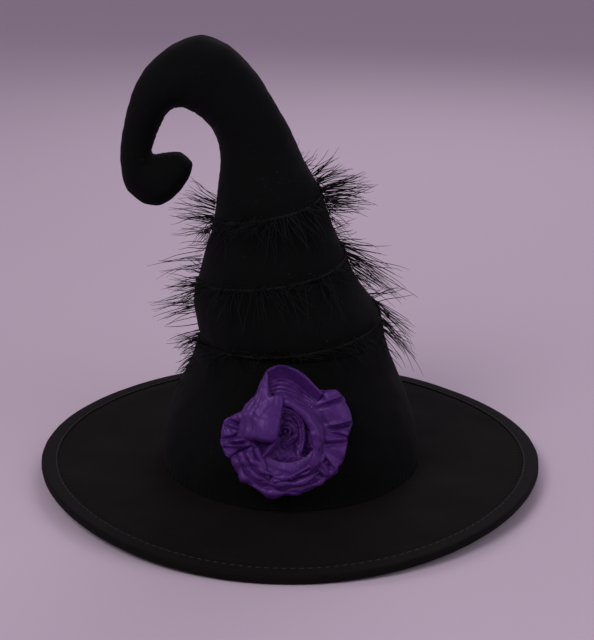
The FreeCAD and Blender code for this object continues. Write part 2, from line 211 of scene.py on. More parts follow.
def smooth_between(table, at):
    """Values of a table on a smooth curve through its rows, at fractional row numbers."""
    last = len(table) - 1
    first = np.clip(np.floor(at).astype(int), 0, last - 1)
    t = (at - first).reshape((-1,) + (1,) * (table.ndim - 1))
    p0 = table[np.maximum(first - 1, 0)]
    p1 = table[first]
    p2 = table[first + 1]
    p3 = table[np.minimum(first + 2, last)]
    bend = 2 * p0 - 5 * p1 + 4 * p2 - p3
    twist = 3 * p1 - p0 - 3 * p2 + p3
    return 0.5 * (2 * p1 + (p2 - p0) * t + bend * t ** 2 + twist * t ** 3)


def straight_between(table, at):
    """Values of a table on straight runs between its rows, at fractional row numbers."""
    first = np.clip(np.floor(at).astype(int), 0, len(table) - 2)
    t = (at - first)[:, None]
    return table[first] * (1 - t) + table[first + 1] * t


def unit(vectors):
    return vectors / np.maximum(np.linalg.norm(vectors, axis=-1, keepdims=True), 1e-12)


def distance_along(path):
    """Distance run along a path of points, at each of them."""
    return np.concatenate([[0], np.cumsum(np.linalg.norm(np.diff(path, axis=0), axis=1))])


def grid_normals(points, wrap_rows=False, wrap_columns=False):
    """Unit normals of a grid of points, by rows and columns."""
    down = np.gradient(points, axis=0)
    if wrap_rows:
        down = (np.roll(points, -1, 0) - np.roll(points, 1, 0)) / 2
    across = np.gradient(points, axis=1)
    if wrap_columns:
        across = (np.roll(points, -1, 1) - np.roll(points, 1, 1)) / 2
    return unit(np.cross(across, down))


def run_lengths(points, axis, wrap):
    """Mean distance run along a grid's axis, with one more value where it wraps."""
    steps = np.diff(points, axis=axis)
    if wrap:
        closing = np.take(points, [0], axis) - np.take(points, [-1], axis)
        steps = np.concatenate([steps, closing], axis)
    lengths = np.linalg.norm(steps, axis=-1).mean(axis=1 - axis)
    return np.concatenate([[0.0], np.cumsum(lengths)])


# ---------------------------------------------------------------- meshes

class Cloth:
    """Points, faces and cloth coordinates gathered for one mesh."""

    def __init__(self):
        self.points = []
        self.faces = []
        self.coordinates = []
        self.count = 0

    def add_points(self, points):
        start = self.count
        flat = points.reshape(-1, 3)
        self.points.append(flat)
        self.count += len(flat)
        return start

    def add_faces(self, faces, coordinates=None):
        if coordinates is None:
            coordinates = np.zeros(faces.shape + (2,))
        self.faces.append(faces)
        self.coordinates.append(coordinates)

    def grid(self, points, wrap_rows=False, wrap_columns=False, reverse=False):
        """One grid of quads. Returns the index of its first point."""
        rows, columns = points.shape[:2]
        start = self.add_points(points)
        row = np.arange(rows if wrap_rows else rows - 1)
        column = np.arange(columns if wrap_columns else columns - 1)
        row, column = (a.ravel() for a in np.meshgrid(row, column, indexing="ij"))
        rr = np.stack([row, row, row + 1, row + 1], 1)
        cc = np.stack([column, column + 1, column + 1, column], 1)
        if reverse:
            rr = rr[:, ::-1]
            cc = cc[:, ::-1]
        across = run_lengths(points, 1, wrap_columns)
        down = run_lengths(points, 0, wrap_rows)
        self.add_faces(
            start + (rr % rows) * columns + cc % columns,
            np.stack([across[cc], down[rr]], -1),
        )
        return start

    def shell(self, outer, thickness, wrap_columns=False, normals=None):
        """Cloth of a thickness under an outer face, closed along its edges."""
        rows, columns = outer.shape[:2]
        if normals is None:
            normals = grid_normals(outer, wrap_columns=wrap_columns)
        inner = outer - normals * np.broadcast_to(thickness, outer.shape[:2])[..., None]
        a = self.grid(outer, wrap_columns=wrap_columns)
        b = self.grid(inner, wrap_columns=wrap_columns, reverse=True)
        column = np.arange(columns if wrap_columns else columns - 1)
        after = (column + 1) % columns
        for row, flip in ((0, False), (rows - 1, True)):
            start = row * columns
            corners = (a + start + column, b + start + column, b + start + after, a + start + after)
            faces = np.stack(corners, 1)
            self.add_faces(faces[:, ::-1] if flip else faces)
        if wrap_columns:
            return
        row = np.arange(rows - 1) * columns
        for column, flip in ((0, True), (columns - 1, False)):
            start = row + column
            faces = np.stack([a + start, b + start, b + start + columns, a + start + columns], 1)
            self.add_faces(faces[:, ::-1] if flip else faces)

    def caps(self, start, rows, columns):
        """Closes the first and the last ring of a grid that wraps, each with a fan of triangles."""
        last = start + (rows - 1) * columns
        fan = np.arange(1, columns - 1)
        self.add_faces(np.stack([np.full_like(fan, start), start + fan + 1, start + fan], 1))
        self.add_faces(np.stack([np.full_like(fan, last), last + fan, last + fan + 1], 1))

    def tube(self, path, radii, sides, closed=False):
        """Round tube along a path, tapered by its radii, with capped ends unless it is closed."""
        tangents = np.gradient(path, axis=0)
        if closed:
            tangents = np.roll(path, -1, 0) - np.roll(path, 1, 0)
        tangents = unit(tangents)
        helper = np.zeros(3)
        helper[np.argmin(np.abs(tangents).mean(0))] = 1
        side = unit(np.cross(tangents, helper))
        up = np.cross(tangents, side)
        angle = TURN * np.arange(sides) / sides
        ring = side[:, None] * np.cos(angle)[:, None] + up[:, None] * np.sin(angle)[:, None]
        radii = np.broadcast_to(radii, (len(path),))
        start = self.grid(path[:, None] + ring * radii[:, None, None], closed, True)
        if not closed:
            self.caps(start, len(path), sides)

    def finish(self, name, material, slot, *nodes):
        """Makes the piece, which rides with the hat and stands for its CAD nodes."""
        mesh = bpy.data.meshes.new(name)
        faces = [face for group in self.faces for face in group.tolist()]
        mesh.from_pydata(np.concatenate(self.points).tolist(), [], faces)
        layer = mesh.uv_layers.new(name="cloth")
        layer.data.foreach_set("uv", np.concatenate([c.reshape(-1) for c in self.coordinates]))
        work = bmesh.new()
        work.from_mesh(mesh)
        bmesh.ops.remove_doubles(work, verts=work.verts, dist=0.005 * MM)
        bmesh.ops.dissolve_degenerate(work, edges=work.edges, dist=0.001 * MM)
        bmesh.ops.recalc_face_normals(work, faces=work.faces)
        work.to_mesh(mesh)
        work.free()
        mesh.shade_smooth()
        mesh.set_sharp_from_angle(angle=math.radians(60))
        piece = bpy.data.objects.new(name, mesh)
        bpy.context.scene.collection.objects.link(piece)
        piece.data.materials.append(material)
        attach(piece, "root")
        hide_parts(*nodes)
        return piece


# ---------------------------------------------------------------- materials

def new_material(name):
    material = bpy.data.materials.new(name)
    material.use_nodes = True
    return material, material.node_tree, material.node_tree.nodes["Principled BSDF"]


def add_node(tree, kind, inputs=None, **settings):
    """New node with its settings and its inputs, each a value or another node's socket."""
    made = tree.nodes.new(kind)
    for key, value in settings.items():
        setattr(made, key, value)
    for key, value in (inputs or {}).items():
        if isinstance(value, bpy.types.NodeSocket):
            tree.links.new(value, made.inputs[key])
        else:
            made.inputs[key].default_value = value
    return made


def place(tree):
    return tree.nodes.new("ShaderNodeTexCoord").outputs["Object"]


def cloth_place(tree):
    return add_node(tree, "ShaderNodeUVMap", uv_map="cloth").outputs["UV"]


def stretched(tree, vector, scale):
    """Coordinates scaled along each axis."""
    return add_node(tree, "ShaderNodeMapping", {"Vector": vector, "Scale": scale}).outputs["Vector"]


def noise(tree, vector, scale, detail=2.0, roughness=0.5):
    inputs = {"Vector": vector, "Scale": scale, "Detail": detail, "Roughness": roughness}
    return add_node(tree, "ShaderNodeTexNoise", inputs).outputs["Fac"]


def stripes(tree, vector, per_metre, direction, distortion=0.0):
    """Sine bands, per_metre of them to the metre."""
    inputs = {"Vector": vector, "Scale": per_metre / 3.183, "Distortion": distortion}
    return add_node(
        tree, "ShaderNodeTexWave", inputs, wave_type="BANDS", bands_direction=direction
    ).outputs["Fac"]


def maths(tree, operation, a, b=0.0):
    return add_node(tree, "ShaderNodeMath", {0: a, 1: b}, operation=operation).outputs[0]


def between(tree, share, low, high):
    """A value that goes from low to high as share goes from 0 to 1."""
    inputs = {"Value": share, "To Min": low, "To Max": high}
    return add_node(tree, "ShaderNodeMapRange", inputs).outputs["Result"]


def blend(tree, share, first, second):
    """Colour between two colours."""
    made = add_node(tree, "ShaderNodeMix", {"Factor": share}, data_type="RGBA")
    for index, colour in ((6, first), (7, second)):
        if isinstance(colour, bpy.types.NodeSocket):
            tree.links.new(colour, made.inputs[index])
        else:
            made.inputs[index].default_value = (*colour, 1)
    return made.outputs[2]


def relief(tree, height, distance, strength=1.0, under=None):
    inputs = {"Height": height, "Distance": distance, "Strength": strength}
    if under is not None:
        inputs["Normal"] = under
    return add_node(tree, "ShaderNodeBump", inputs).outputs["Normal"]


def wire_in(tree, shader, colour, roughness, normal, **constants):
    """Links what varies over a surface; what is the same all over it is set, by its input's name."""
    for name, value in constants.items():
        shader.inputs[name.replace("_", " ")].default_value = value
    tree.links.new(colour, shader.inputs["Base Color"])
    tree.links.new(roughness, shader.inputs["Roughness"])
    tree.links.new(normal, shader.inputs["Normal"])


def felt_look(name, dark, light, sheen, speck):
    """Suede-like felt: short brushed nap, matted fibres, faint patches and a little lint."""
    material, tree, shader = new_material(name)
    at = place(tree)
    patches = noise(tree, at, 22, 3)
    fibres = noise(tree, stretched(tree, at, (1400, 1400, 380)), 1, 3, 0.65)
    matted = noise(tree, at, 1900, 2, 0.6)
    lint = maths(tree, "GREATER_THAN", noise(tree, at, 620, 2, 0.5), 0.74)
    colour = blend(tree, patches, dark, light)
    colour = blend(tree, between(tree, fibres, 0.0, 0.55), colour, dark)
    colour = blend(tree, maths(tree, "MULTIPLY", lint, 0.45), colour, speck)
    roughness = between(tree, fibres, 0.82, 1.0)
    normal = relief(tree, fibres, 0.35 * MM, 0.75)
    normal = relief(tree, matted, 0.25 * MM, 0.6, normal)
    wire_in(
        tree, shader, colour, roughness, normal, Sheen_Weight=sheen, Sheen_Roughness=0.45,
        Sheen_Tint=(0.75, 0.72, 0.8, 1), Specular_IOR_Level=0.07,
    )
    return material


def woven_look(name, dark, light, rib, across_rib, sheen, shine):
    """Woven tape or ribbon: ribs across it and finer threads along it."""
    material, tree, shader = new_material(name)
    at = cloth_place(tree)
    ribs = stripes(tree, at, rib, "X", 0.4)
    threads = stripes(tree, at, across_rib, "Y", 0.6)
    weave = maths(tree, "MULTIPLY", ribs, threads)
    worn = noise(tree, place(tree), 60, 4, 0.6)
    fuzz = noise(tree, place(tree), 2600, 2, 0.6)
    colour = blend(tree, weave, dark, light)
    colour = blend(tree, between(tree, worn, 0.0, 0.35), colour, light)
    roughness = between(tree, fuzz, 0.6, 0.95)
    normal = relief(tree, weave, 0.3 * MM, 0.8)
    normal = relief(tree, fuzz, 0.12 * MM, 0.5, normal)
    wire_in(tree, shader, colour, roughness, normal, Sheen_Weight=sheen, Specular_IOR_Level=shine)
    return material


def satin_look(name, dark, light, roughness, sheen, tint, shine):
    """Satin: fine close threads, soft gloss, small pulls and slubs; its colour patches are partly its own
    uneven tone, partly painted sheen and shade.
    """
    material, tree, shader = new_material(name)
    at = cloth_place(tree)
    threads = noise(tree, stretched(tree, at, (5200, 260, 1)), 1, 2, 0.6)
    slubs = noise(tree, stretched(tree, at, (900, 60, 1)), 1, 2, 0.5)
    shades = noise(tree, place(tree), 55, 3, 0.55)
    # Colour patches between dark and light: partly the satin's own uneven tone, partly painted sheen and
    # painted shade
    colour = blend(tree, shades, dark, light)
    colour = blend(tree, between(tree, threads, 0.0, 0.35), colour, dark)
    gloss = between(tree, slubs, roughness - 0.08, roughness + 0.14)
    handled = noise(tree, stretched(tree, at, (420, 120, 1)), 1, 3, 0.5)
    normal = relief(tree, handled, 0.7 * MM, 0.5)
    normal = relief(tree, threads, 0.06 * MM, 0.55, normal)
    normal = relief(tree, slubs, 0.1 * MM, 0.5, normal)
    wire_in(
        tree, shader, colour, gloss, normal, Sheen_Weight=sheen, Sheen_Roughness=0.3, Sheen_Tint=(*tint, 1),
        Specular_IOR_Level=shine, Specular_Tint=(*tint, 1), Anisotropic=0.5,
    )
    return material


def foam_look(name, dark, light):
    """Sheet foam: open cells with thin walls, with painted shade in the cell hollows."""
    material, tree, shader = new_material(name)
    at = place(tree)
    cells = add_node(tree, "ShaderNodeTexVoronoi", {"Vector": at, "Scale": 1300.0}).outputs["Distance"]
    shades = noise(tree, at, 40, 3)
    # Painted shade: darker in the hollow middle of each cell and lighter on its walls, following the cell
    # depth that also drives the bump
    colour = blend(tree, cells, dark, light)
    colour = blend(tree, between(tree, shades, 0.0, 0.3), colour, light)
    roughness = between(tree, shades, 0.85, 1.0)
    wire_in(tree, shader, colour, roughness, relief(tree, cells, 0.3 * MM, 0.8))
    return material


def fibre_look(name, dark, light, density, gloss, sheen, shine):
    """Loose or twisted fibres that run along the piece."""
    material, tree, shader = new_material(name)
    at = cloth_place(tree)
    strands = noise(tree, stretched(tree, at, (density, density * 0.12, 1)), 1, 3, 0.6)
    shades = noise(tree, place(tree), 90, 3)
    colour = blend(tree, strands, dark, light)
    colour = blend(tree, between(tree, shades, 0.0, 0.4), colour, dark)
    roughness = between(tree, strands, gloss, gloss + 0.25)
    normal = relief(tree, strands, 0.15 * MM, 0.7)
    wire_in(tree, shader, colour, roughness, normal, Sheen_Weight=sheen, Specular_IOR_Level=shine)
    return material


def steel_look(name):
    """Drawn steel wire: fine lines along it, dulled in places."""
    material, tree, shader = new_material(name)
    at = place(tree)
    scratches = noise(tree, stretched(tree, at, (2500, 2500, 300)), 1, 3, 0.6)
    dull = noise(tree, at, 120, 4, 0.6)
    colour = blend(tree, dull, (0.42, 0.42, 0.43), (0.62, 0.62, 0.64))
    roughness = between(tree, dull, 0.28, 0.5)
    wire_in(tree, shader, colour, roughness, relief(tree, scratches, 0.02 * MM, 0.5), Metallic=1.0)
    return material


def floor_look(name, colour):
    material, _, shader = new_material(name)
    shader.inputs["Base Color"].default_value = (*colour, 1)
    shader.inputs["Roughness"].default_value = 0.9
    shader.inputs["Specular IOR Level"].default_value = 0.2
    return material


brim_felt = felt_look(
    "brim_felt_cloth", dark=(0.0022, 0.0018, 0.0014), light=(0.0056, 0.0042, 0.0030),
    sheen=0.022, speck=(0.05, 0.045, 0.05),
)
crown_felt = felt_look(
    "crown_felt_cloth", dark=(0.0016, 0.0017, 0.0017), light=(0.0044, 0.0045, 0.0044),
    sheen=0.022, speck=(0.05, 0.048, 0.055),
)
binding_weave = woven_look(
    "binding_weave", dark=(0.0016, 0.0014, 0.0012), light=(0.0052, 0.0043, 0.0037),
    rib=1100, across_rib=800, sheen=0.01, shine=0.08,
)
ribbon_weave = woven_look(
    "sweatband_weave", dark=(0.006, 0.006, 0.007), light=(0.020, 0.020, 0.022),
    rib=900, across_rib=1600, sheen=0.1, shine=0.25,
)
tape_weave = woven_look(
    "seam_tape_weave", dark=(0.010, 0.010, 0.011), light=(0.028, 0.028, 0.030),
    rib=1400, across_rib=1400, sheen=0.1, shine=0.2,
)
lining_weave = satin_look(
    "lining_weave", dark=(0.010, 0.008, 0.010), light=(0.022, 0.018, 0.022),
    roughness=0.42, sheen=0.1, tint=(0.8, 0.7, 0.8), shine=0.35,
)
# The dark and light violets span painted shade and painted sheen as well as the ribbon's own colour
violet_satin = satin_look(
    "violet_satin", dark=(0.033, 0.0085, 0.080), light=(0.080, 0.021, 0.165),
    roughness=0.39, sheen=0.16, tint=(0.72, 0.42, 1.0), shine=0.48,
)
violet_felt = felt_look(
    "violet_felt", dark=(0.020, 0.010, 0.032), light=(0.036, 0.018, 0.058),
    sheen=0.2, speck=(0.10, 0.05, 0.14),
)
sheet_foam = foam_look("sheet_foam", dark=(0.035, 0.035, 0.038), light=(0.11, 0.11, 0.12))
fibre_fill = fibre_look(
    "fibre_fill", dark=(0.55, 0.55, 0.53), light=(0.82, 0.82, 0.80),
    density=2600, gloss=0.75, sheen=0.4, shine=0.3,
)
feather_barb = fibre_look(
    "feather_barb", dark=(0.0014, 0.0016, 0.0016), light=(0.0050, 0.0056, 0.0056),
    density=9000, gloss=0.62, sheen=0.0, shine=0.16,
)
cord_twist = fibre_look(
    "cord_twist", dark=(0.0022, 0.0022, 0.0023), light=(0.0075, 0.0075, 0.008),
    density=5000, gloss=0.7, sheen=0.0, shine=0.2,
)
sewing_thread = fibre_look(
    "sewing_thread", dark=(0.006, 0.006, 0.006), light=(0.018, 0.017, 0.016),
    density=7000, gloss=0.5, sheen=0.05, shine=0.35,
)
steel_wire = steel_look("steel_wire")


# ---------------------------------------------------------------- brim

def brim_lift(radius, angle):
    """Rise of the brim, from nothing beside the crown to all of it at the edge."""
    share = np.clip((radius - BRIM_WAVE_START) / (BRIM_RADIUS - BRIM_WAVE_START), 0, 1) ** 1.5
    rise = BRIM_MEAN_RISE
    for waves, height, crest in BRIM_WAVES:
        rise = rise + height * np.cos(waves * (angle - math.radians(crest)))
    return share * np.maximum(rise, 0)


def turned(radius, z, angle):
    """Points at radii, heights and angles about the Z axis."""
    return np.stack([radius * np.cos(angle), radius * np.sin(angle), z + 0 * angle], -1)


def stitch_dips(angle):
    """1 at each stitch of the brim's edge and 0 between them."""
    return 0.5 + 0.5 * np.cos(STITCHES * angle)


def brim_face(level, columns, relief_depth, seed):
    """Face of one brim cloth, from the hole to the rim, with soft unevenness and sewing dimples."""
    radii = np.concatenate([
        np.linspace(HOLE_RADIUS, BINDING_INNER_EDGE - 6 * MM, 34),
        np.linspace(BINDING_INNER_EDGE - 5 * MM, BRIM_RADIUS - BINDING - 0.3 * MM, 13),
    ])
    angle = TURN * np.arange(columns) / columns
    radius, angle = np.meshgrid(radii, angle, indexing="ij")
    flat = turned(radius, level, angle)
    free = smooth_step(HOLE_RADIUS, 112 * MM, radius) * (1 - smooth_step(176 * MM, 186 * MM, radius))
    uneven = ripples(flat, 70 * MM, seed) * 0.6 + ripples(flat, 26 * MM, seed + 1) * 0.25
    dimples = bump(radius, BINDING_INNER_EDGE - 1.2 * MM, 2.2 * MM) * stitch_dips(angle)
    crown_dent = bump(radius, 102.5 * MM, 3.0 * MM)
    dents = uneven * free - 0.4 * dimples - 0.4 * crown_dent
    return turned(radius, level + brim_lift(radius, angle) + relief_depth * dents, angle)


def brim_cloth(name, node, level, relief_depth, seed):
    face = brim_face(level, RING_COLUMNS, relief_depth, seed)
    up = np.zeros_like(face)
    up[..., 2] = 1
    cloth = Cloth()
    cloth.shell(face, CLOTH, wrap_columns=True, normals=up)
    piece = cloth.finish(name, brim_felt, "brim_felt", node)


def run_along(corners, step):
    """Points along straight runs between corners, no further apart than step."""
    corners = np.array(corners, float)
    points = []
    for start, end in zip(corners, corners[1:]):
        pieces = max(1, round(np.linalg.norm(end - start) / step))
        points.extend(start + (end - start) * i / pieces for i in range(pieces))
    points.append(corners[-1])
    return np.array(points)


def arc(centre, radius, first, last, steps):
    """Points (radius, height) on an arc between two angles in degrees."""
    angle = np.radians(np.linspace(first, last, steps))
    return [(centre[0] + radius * math.cos(a), centre[1] + radius * math.sin(a)) for a in angle]


def swept_ring(outline, columns, shift):
    """Cloth of a closed outline of (radius, height) turned about Z; shift moves it out and up by place."""
    angle = TURN * np.arange(columns) / columns
    radius, angle = np.meshgrid(outline[:, 0], angle, indexing="ij")
    z = np.broadcast_to(outline[:, 1][:, None], radius.shape)
    out, up = shift(radius, z, angle)
    cloth = Cloth()
    cloth.grid(turned(radius + out, z + up, angle), True, True)
    return cloth


def binding_shift(radius, z, angle):
    """The binding follows the brim's waves, and its upper edge dips at each stitch."""
    on_top = smooth_step(5 * MM, 6.5 * MM, z)
    dips = bump(radius, STITCH_RING, 1.6 * MM) * stitch_dips(angle) * on_top
    flat = turned(radius, z, angle)
    loose = ripples(flat, 34 * MM, 21) * 0.25 * MM
    edge = smooth_step(196 * MM, 200 * MM, radius)
    up = brim_lift(radius, angle) - 0.35 * MM * dips + loose * 0.3 * on_top
    return -np.abs(loose) * edge, np.maximum(up, -z)


def brim_binding():
    """Tape folded round the rim, rounded where it turns."""
    inner = BINDING_INNER_EDGE
    lead_in = 0.3 * MM
    upper_fold = (BRIM_RADIUS - RIM_FOLD_RADIUS, BRIM_EDGE_Z - RIM_FOLD_RADIUS)
    lower_fold = (BRIM_RADIUS - RIM_FOLD_RADIUS, RIM_FOLD_RADIUS)
    out = arc(upper_fold, RIM_FOLD_RADIUS, 90, 0, 7) + arc(lower_fold, RIM_FOLD_RADIUS, 0, -90, 7)
    back = arc(lower_fold, RIM_FOLD_RADIUS - BINDING, -90, 0, 7)
    back += arc(upper_fold, RIM_FOLD_RADIUS - BINDING, 0, 90, 7)
    corners = [(inner, BRIM_TOP_Z + 0.2 * MM), (inner + lead_in, BRIM_EDGE_Z)] + out
    corners += [(inner + lead_in, 0), (inner, BINDING)] + back
    cloth = swept_ring(run_along(corners, 1.2 * MM), RING_COLUMNS, binding_shift)
    piece = cloth.finish("brim_binding", binding_weave, "binding_tape", "brim_edge_binding")


def rounded_outline(inner, outer, low, high, corner):
    """Rounded rectangle of (radius, height) points."""
    points = arc((outer - corner, high - corner), corner, 90, 0, 4)
    points += arc((outer - corner, low + corner), corner, 0, -90, 4)
    points += arc((inner + corner, low + corner), corner, -90, -180, 4)
    points += arc((inner + corner, high - corner), corner, 180, 90, 4)
    return run_along(points + points[:1], 4 * MM)[:-1]


def band_outline(band, corner, step):
    """Rounded outline of a band (inner, outer, low, high), with points a step apart."""
    outline = rounded_outline(*band, corner)
    return run_along(np.vstack([outline, outline[:1]]), step)[:-1]


def brim_core():
    edge = BRIM_RADIUS - BINDING - 4.6 * MM
    outline = rounded_outline(HOLE_RADIUS, edge, CORE_Z + 0.05 * MM, TOP_CLOTH_Z - 0.4 * MM, 0.5 * MM)

    def shift(radius, z, angle):
        uneven = ripples(turned(radius, z, angle), 12 * MM, 31) * 0.12 * MM
        return 0 * radius, brim_lift(radius, angle) - np.abs(uneven) * (z > 3 * MM)

    cloth = swept_ring(outline, 360, shift)
    cloth.finish("brim_core", sheet_foam, "foam", "brim_foam_core")


def brim_wire():
    angle = TURN * np.arange(720) / 720
    z = (CORE_Z + TOP_CLOTH_Z) / 2 + brim_lift(EDGE_WIRE_RING, angle)
    cloth = Cloth()
    cloth.tube(turned(EDGE_WIRE_RING, z, angle), EDGE_WIRE_RADIUS, 8, closed=True)
    cloth.finish("brim_wire", steel_wire, "wire", "brim_edge_wire")


def brim_stitches():
    """Lockstitches on the binding: each a thread that rises out of it and dips back in."""
    random = np.random.default_rng(7)
    cloth = Cloth()
    share = np.linspace(-1, 1, 9)
    for i in range(STITCHES):
        middle = TURN * i / STITCHES
        half = 1.9 * MM * random.uniform(0.9, 1.05) / STITCH_RING
        angle = middle + share * half
        ring = STITCH_RING + random.normal(0, 0.08) * MM + share * random.normal(0, 0.12) * MM
        rise = 0.28 * MM * (1 - share ** 4) - 0.25 * MM
        z = BRIM_EDGE_Z - 0.25 * MM + brim_lift(ring, angle) + rise
        cloth.tube(turned(ring, z, angle), 0.3 * MM, 7)
    cloth.finish("brim_stitches", sewing_thread, "thread", "brim_edge_stitches")


def build_brim():
    brim_cloth("brim_top_felt", "brim_top_cloth", BRIM_TOP_Z, 1.0 * MM, 11)
    brim_cloth("brim_under_felt", "brim_under_cloth", CORE_Z, 0.0, 13)
    brim_core()
    brim_binding()
    brim_wire()
    brim_stitches()


# ---------------------------------------------------------------- head opening

def sweatband():
    """Grosgrain band inside the opening, its ends lapped at the back, gathered a little at its foot."""
    def shift(radius, z, angle):
        degrees = np.degrees(angle)
        lap = smooth_step(86, 88, degrees) * (1 - smooth_step(96, 96.6, degrees))
        loose = smooth_step(8 * MM, 33 * MM, z)
        wave = ripples(turned(radius, z, angle), 45 * MM, 41) * 0.5 * MM * loose
        pucker = np.sin(angle * 120) * 0.12 * MM * bump(z, 5 * MM, 2.5 * MM)
        return -0.45 * MM * lap - np.abs(wave) + pucker, 0 * z

    cloth = swept_ring(band_outline(SWEATBAND, 0.3 * MM, 1.2 * MM), 480, shift)
    piece = cloth.finish("head_sweatband", ribbon_weave, "sweatband_ribbon", "sweatband")


def tape_ring(name, node, band, seed):
    """Tape sewn over a seam. Its flat width is the least that a sheet may have; area holds the real one."""

    def shift(radius, z, angle):
        wave = ripples(turned(radius, z, angle), 20 * MM, seed) * 0.1 * MM
        return -np.abs(wave), 0 * z

    cloth = swept_ring(band_outline(band, 0.2 * MM, 1.0 * MM), 420, shift)
    piece = cloth.finish(name, tape_weave, "seam_tape", node)


def build_head_opening():
    sweatband()
    tape_ring("brim_seam_tape", "crown_brim_seam_tape", BRIM_TAPE, 51)
    tape_ring("waist_seam_tape", "crown_waist_seam_tape", WAIST_TAPE, 52)


# ---------------------------------------------------------------- flared base

def base_rows(count):
    """Heights and radii down the flare, on a smooth curve."""
    rows = smooth_between(BASE_PROFILE, np.linspace(0, len(BASE_PROFILE) - 1, count))
    return rows[:, 0], rows[:, 1]


def base_radius(z):
    return np.interp(z, BASE_PROFILE[:, 0], BASE_PROFILE[:, 1])


def waist_relief(points):
    """Draws the cloth in along the waist seam, with gathers that fade above and below it."""
    angle = np.arctan2(points[..., 1], points[..., 0])
    away = points[..., 2] - WAIST_Z
    around = turned(np.full(angle.shape, 70 * MM), 0, angle)
    fade = np.exp(-np.abs(away) / (9 * MM))
    wander = 2.5 * ripples(around, 60 * MM, 61)
    strength = 0.6 + 0.4 * ripples(around, 40 * MM, 62)
    folds = np.sin(GATHERS_AT_WAIST * angle + wander) * strength
    return -1.3 * MM * bump(away, 0, 2.6 * MM) + 0.8 * MM * folds * fade


def trim_groove(points):
    """Draws the cloth in a little under each turn of the feather trim's cord."""
    angle = np.arctan2(points[..., 1], points[..., 0] - TRIM_AXIS_X)
    part_turn = (-angle / TURN) % 1.0
    total = np.zeros(angle.shape)
    for whole in range(-1, 3):
        turn = part_turn + whole
        on = (turn > TRIM_START_TURN) & (turn < TRIM_END_TURN)
        total += on * bump(points[..., 2], TRIM_FIRST_Z - TRIM_PITCH * turn, 3.6 * MM)
    return -0.7 * MM * total


def cloth_unevenness(points):
    return 0.9 * MM * ripples(points, 62 * MM, 71) + 0.28 * MM * ripples(points, 21 * MM, 72)


def above_foam(out, z):
    """Keeps dents in the cloth clear of the foam, which stops short of the waist seam."""
    return np.maximum(out, -0.9 * MM - 1.3 * MM * bump(z, WAIST_Z, 2.2 * MM))


def base_cloth():
    z, radius = base_rows(100)
    columns = 400
    angle = TURN * np.arange(columns) / columns
    radius, angle_grid = np.meshgrid(radius, angle, indexing="ij")
    z = np.broadcast_to(z[:, None], radius.shape)
    points = turned(radius, z, angle_grid)
    from_seam = np.abs(angle_grid - math.pi / 2) * radius
    seam = -1.1 * MM * bump(from_seam, 0, 1.6 * MM)
    pucker = 0.35 * MM * bump(from_seam, 0, 6 * MM) * np.sin(z * TURN / (7 * MM))
    foot = np.exp(-(z - BRIM_TOP_Z) / (5 * MM))
    wander = 2 * ripples(points, 50 * MM, 73)
    foot_folds = foot * (0.8 * MM + 0.45 * MM * np.sin(GATHERS_AT_FOOT * angle_grid + wander))
    out = cloth_unevenness(points) * (1 - foot) + waist_relief(points) + trim_groove(points)
    out = out + seam + pucker + foot_folds
    points = turned(radius + above_foam(out, z), z, angle_grid)
    cloth = Cloth()
    cloth.shell(points, -CLOTH, wrap_columns=True)
    piece = cloth.finish("base_cloth", crown_felt, "crown_felt", "crown_base_panel")


def base_layer(depths, levels, wave, seed):
    """Closed ring between two depths under the base's outer face and two levels."""
    z = np.linspace(*levels, 46)
    outer = base_radius(z) - depths[0]
    inner = base_radius(z) - depths[1]
    outline = np.vstack([np.stack([outer, z], 1), np.stack([inner, z], 1)[::-1]])

    def shift(radius, z, angle):
        return -wave * np.abs(ripples(turned(radius, z, angle), 28 * MM, seed)), 0 * z

    return swept_ring(outline, 300, shift)


def build_base():
    base_cloth()
    foam = base_layer(FOAM_DEPTHS, BASE_FOAM_LEVELS, 0.0, 81)
    foam.finish("base_foam", sheet_foam, "foam", "crown_base_foam")
    lining = base_layer(LINING_DEPTHS, BASE_LINING_LEVELS, 0.9 * MM, 82)
    piece = lining.finish("base_lining", lining_weave, "lining_satin", "crown_base_lining")


# ---------------------------------------------------------------- curled crown

def crown_grid(at, angles, depth, side):
    """Points of half the crown, front (side -1) or back (1), at a depth under its surface."""
    smooth = smooth_between(CROWN_STATIONS, at)
    straight = straight_between(CROWN_STATIONS, at)
    rows = smooth * (1 - FACET_SHARE) + straight * FACET_SHARE
    x_in, z_in, x_out, z_out, half_depth = rows.T
    zero = np.zeros(len(at))
    inner = np.stack([x_in, zero, z_in], 1)
    outer = np.stack([x_out, zero, z_out], 1)
    half_width = np.linalg.norm(outer - inner, axis=1) / 2
    across = unit(outer - inner)
    a = np.maximum(half_width - depth, 0.2 * MM)[:, None]
    b = np.maximum(half_depth - depth, 0.2 * MM)[:, None]
    points = (inner + outer)[:, None] / 2 + across[:, None] * (a * np.cos(angles))[..., None]
    points[..., 1] += side * b * np.sin(angles)
    return points


def curl_folds(at, angles):
    """Creases across the inner side of the curl, where the cloth is pressed together."""
    rows = at[:, None]
    inside = smooth_step(0.45 * math.pi, math.pi, angles)[None, :]
    bent = smooth_step(11, 14, rows) * (1 - smooth_step(30, 32, rows))
    wander = 0.25 * np.sin(rows * 1.7) + 0.12 * np.sin(angles * 5 + rows)[None, 0]
    ridge = np.abs(np.sin(math.pi * (rows * 0.9 + wander)))
    return -1.1 * MM * (1 - ridge) ** 2 * inside * bent


def flat_at_seams(normals):
    """Unit normals that don't lean to front or back where the two panels meet."""
    normals[:, 0, 1] = 0
    normals[:, -1, 1] = 0
    return unit(normals)


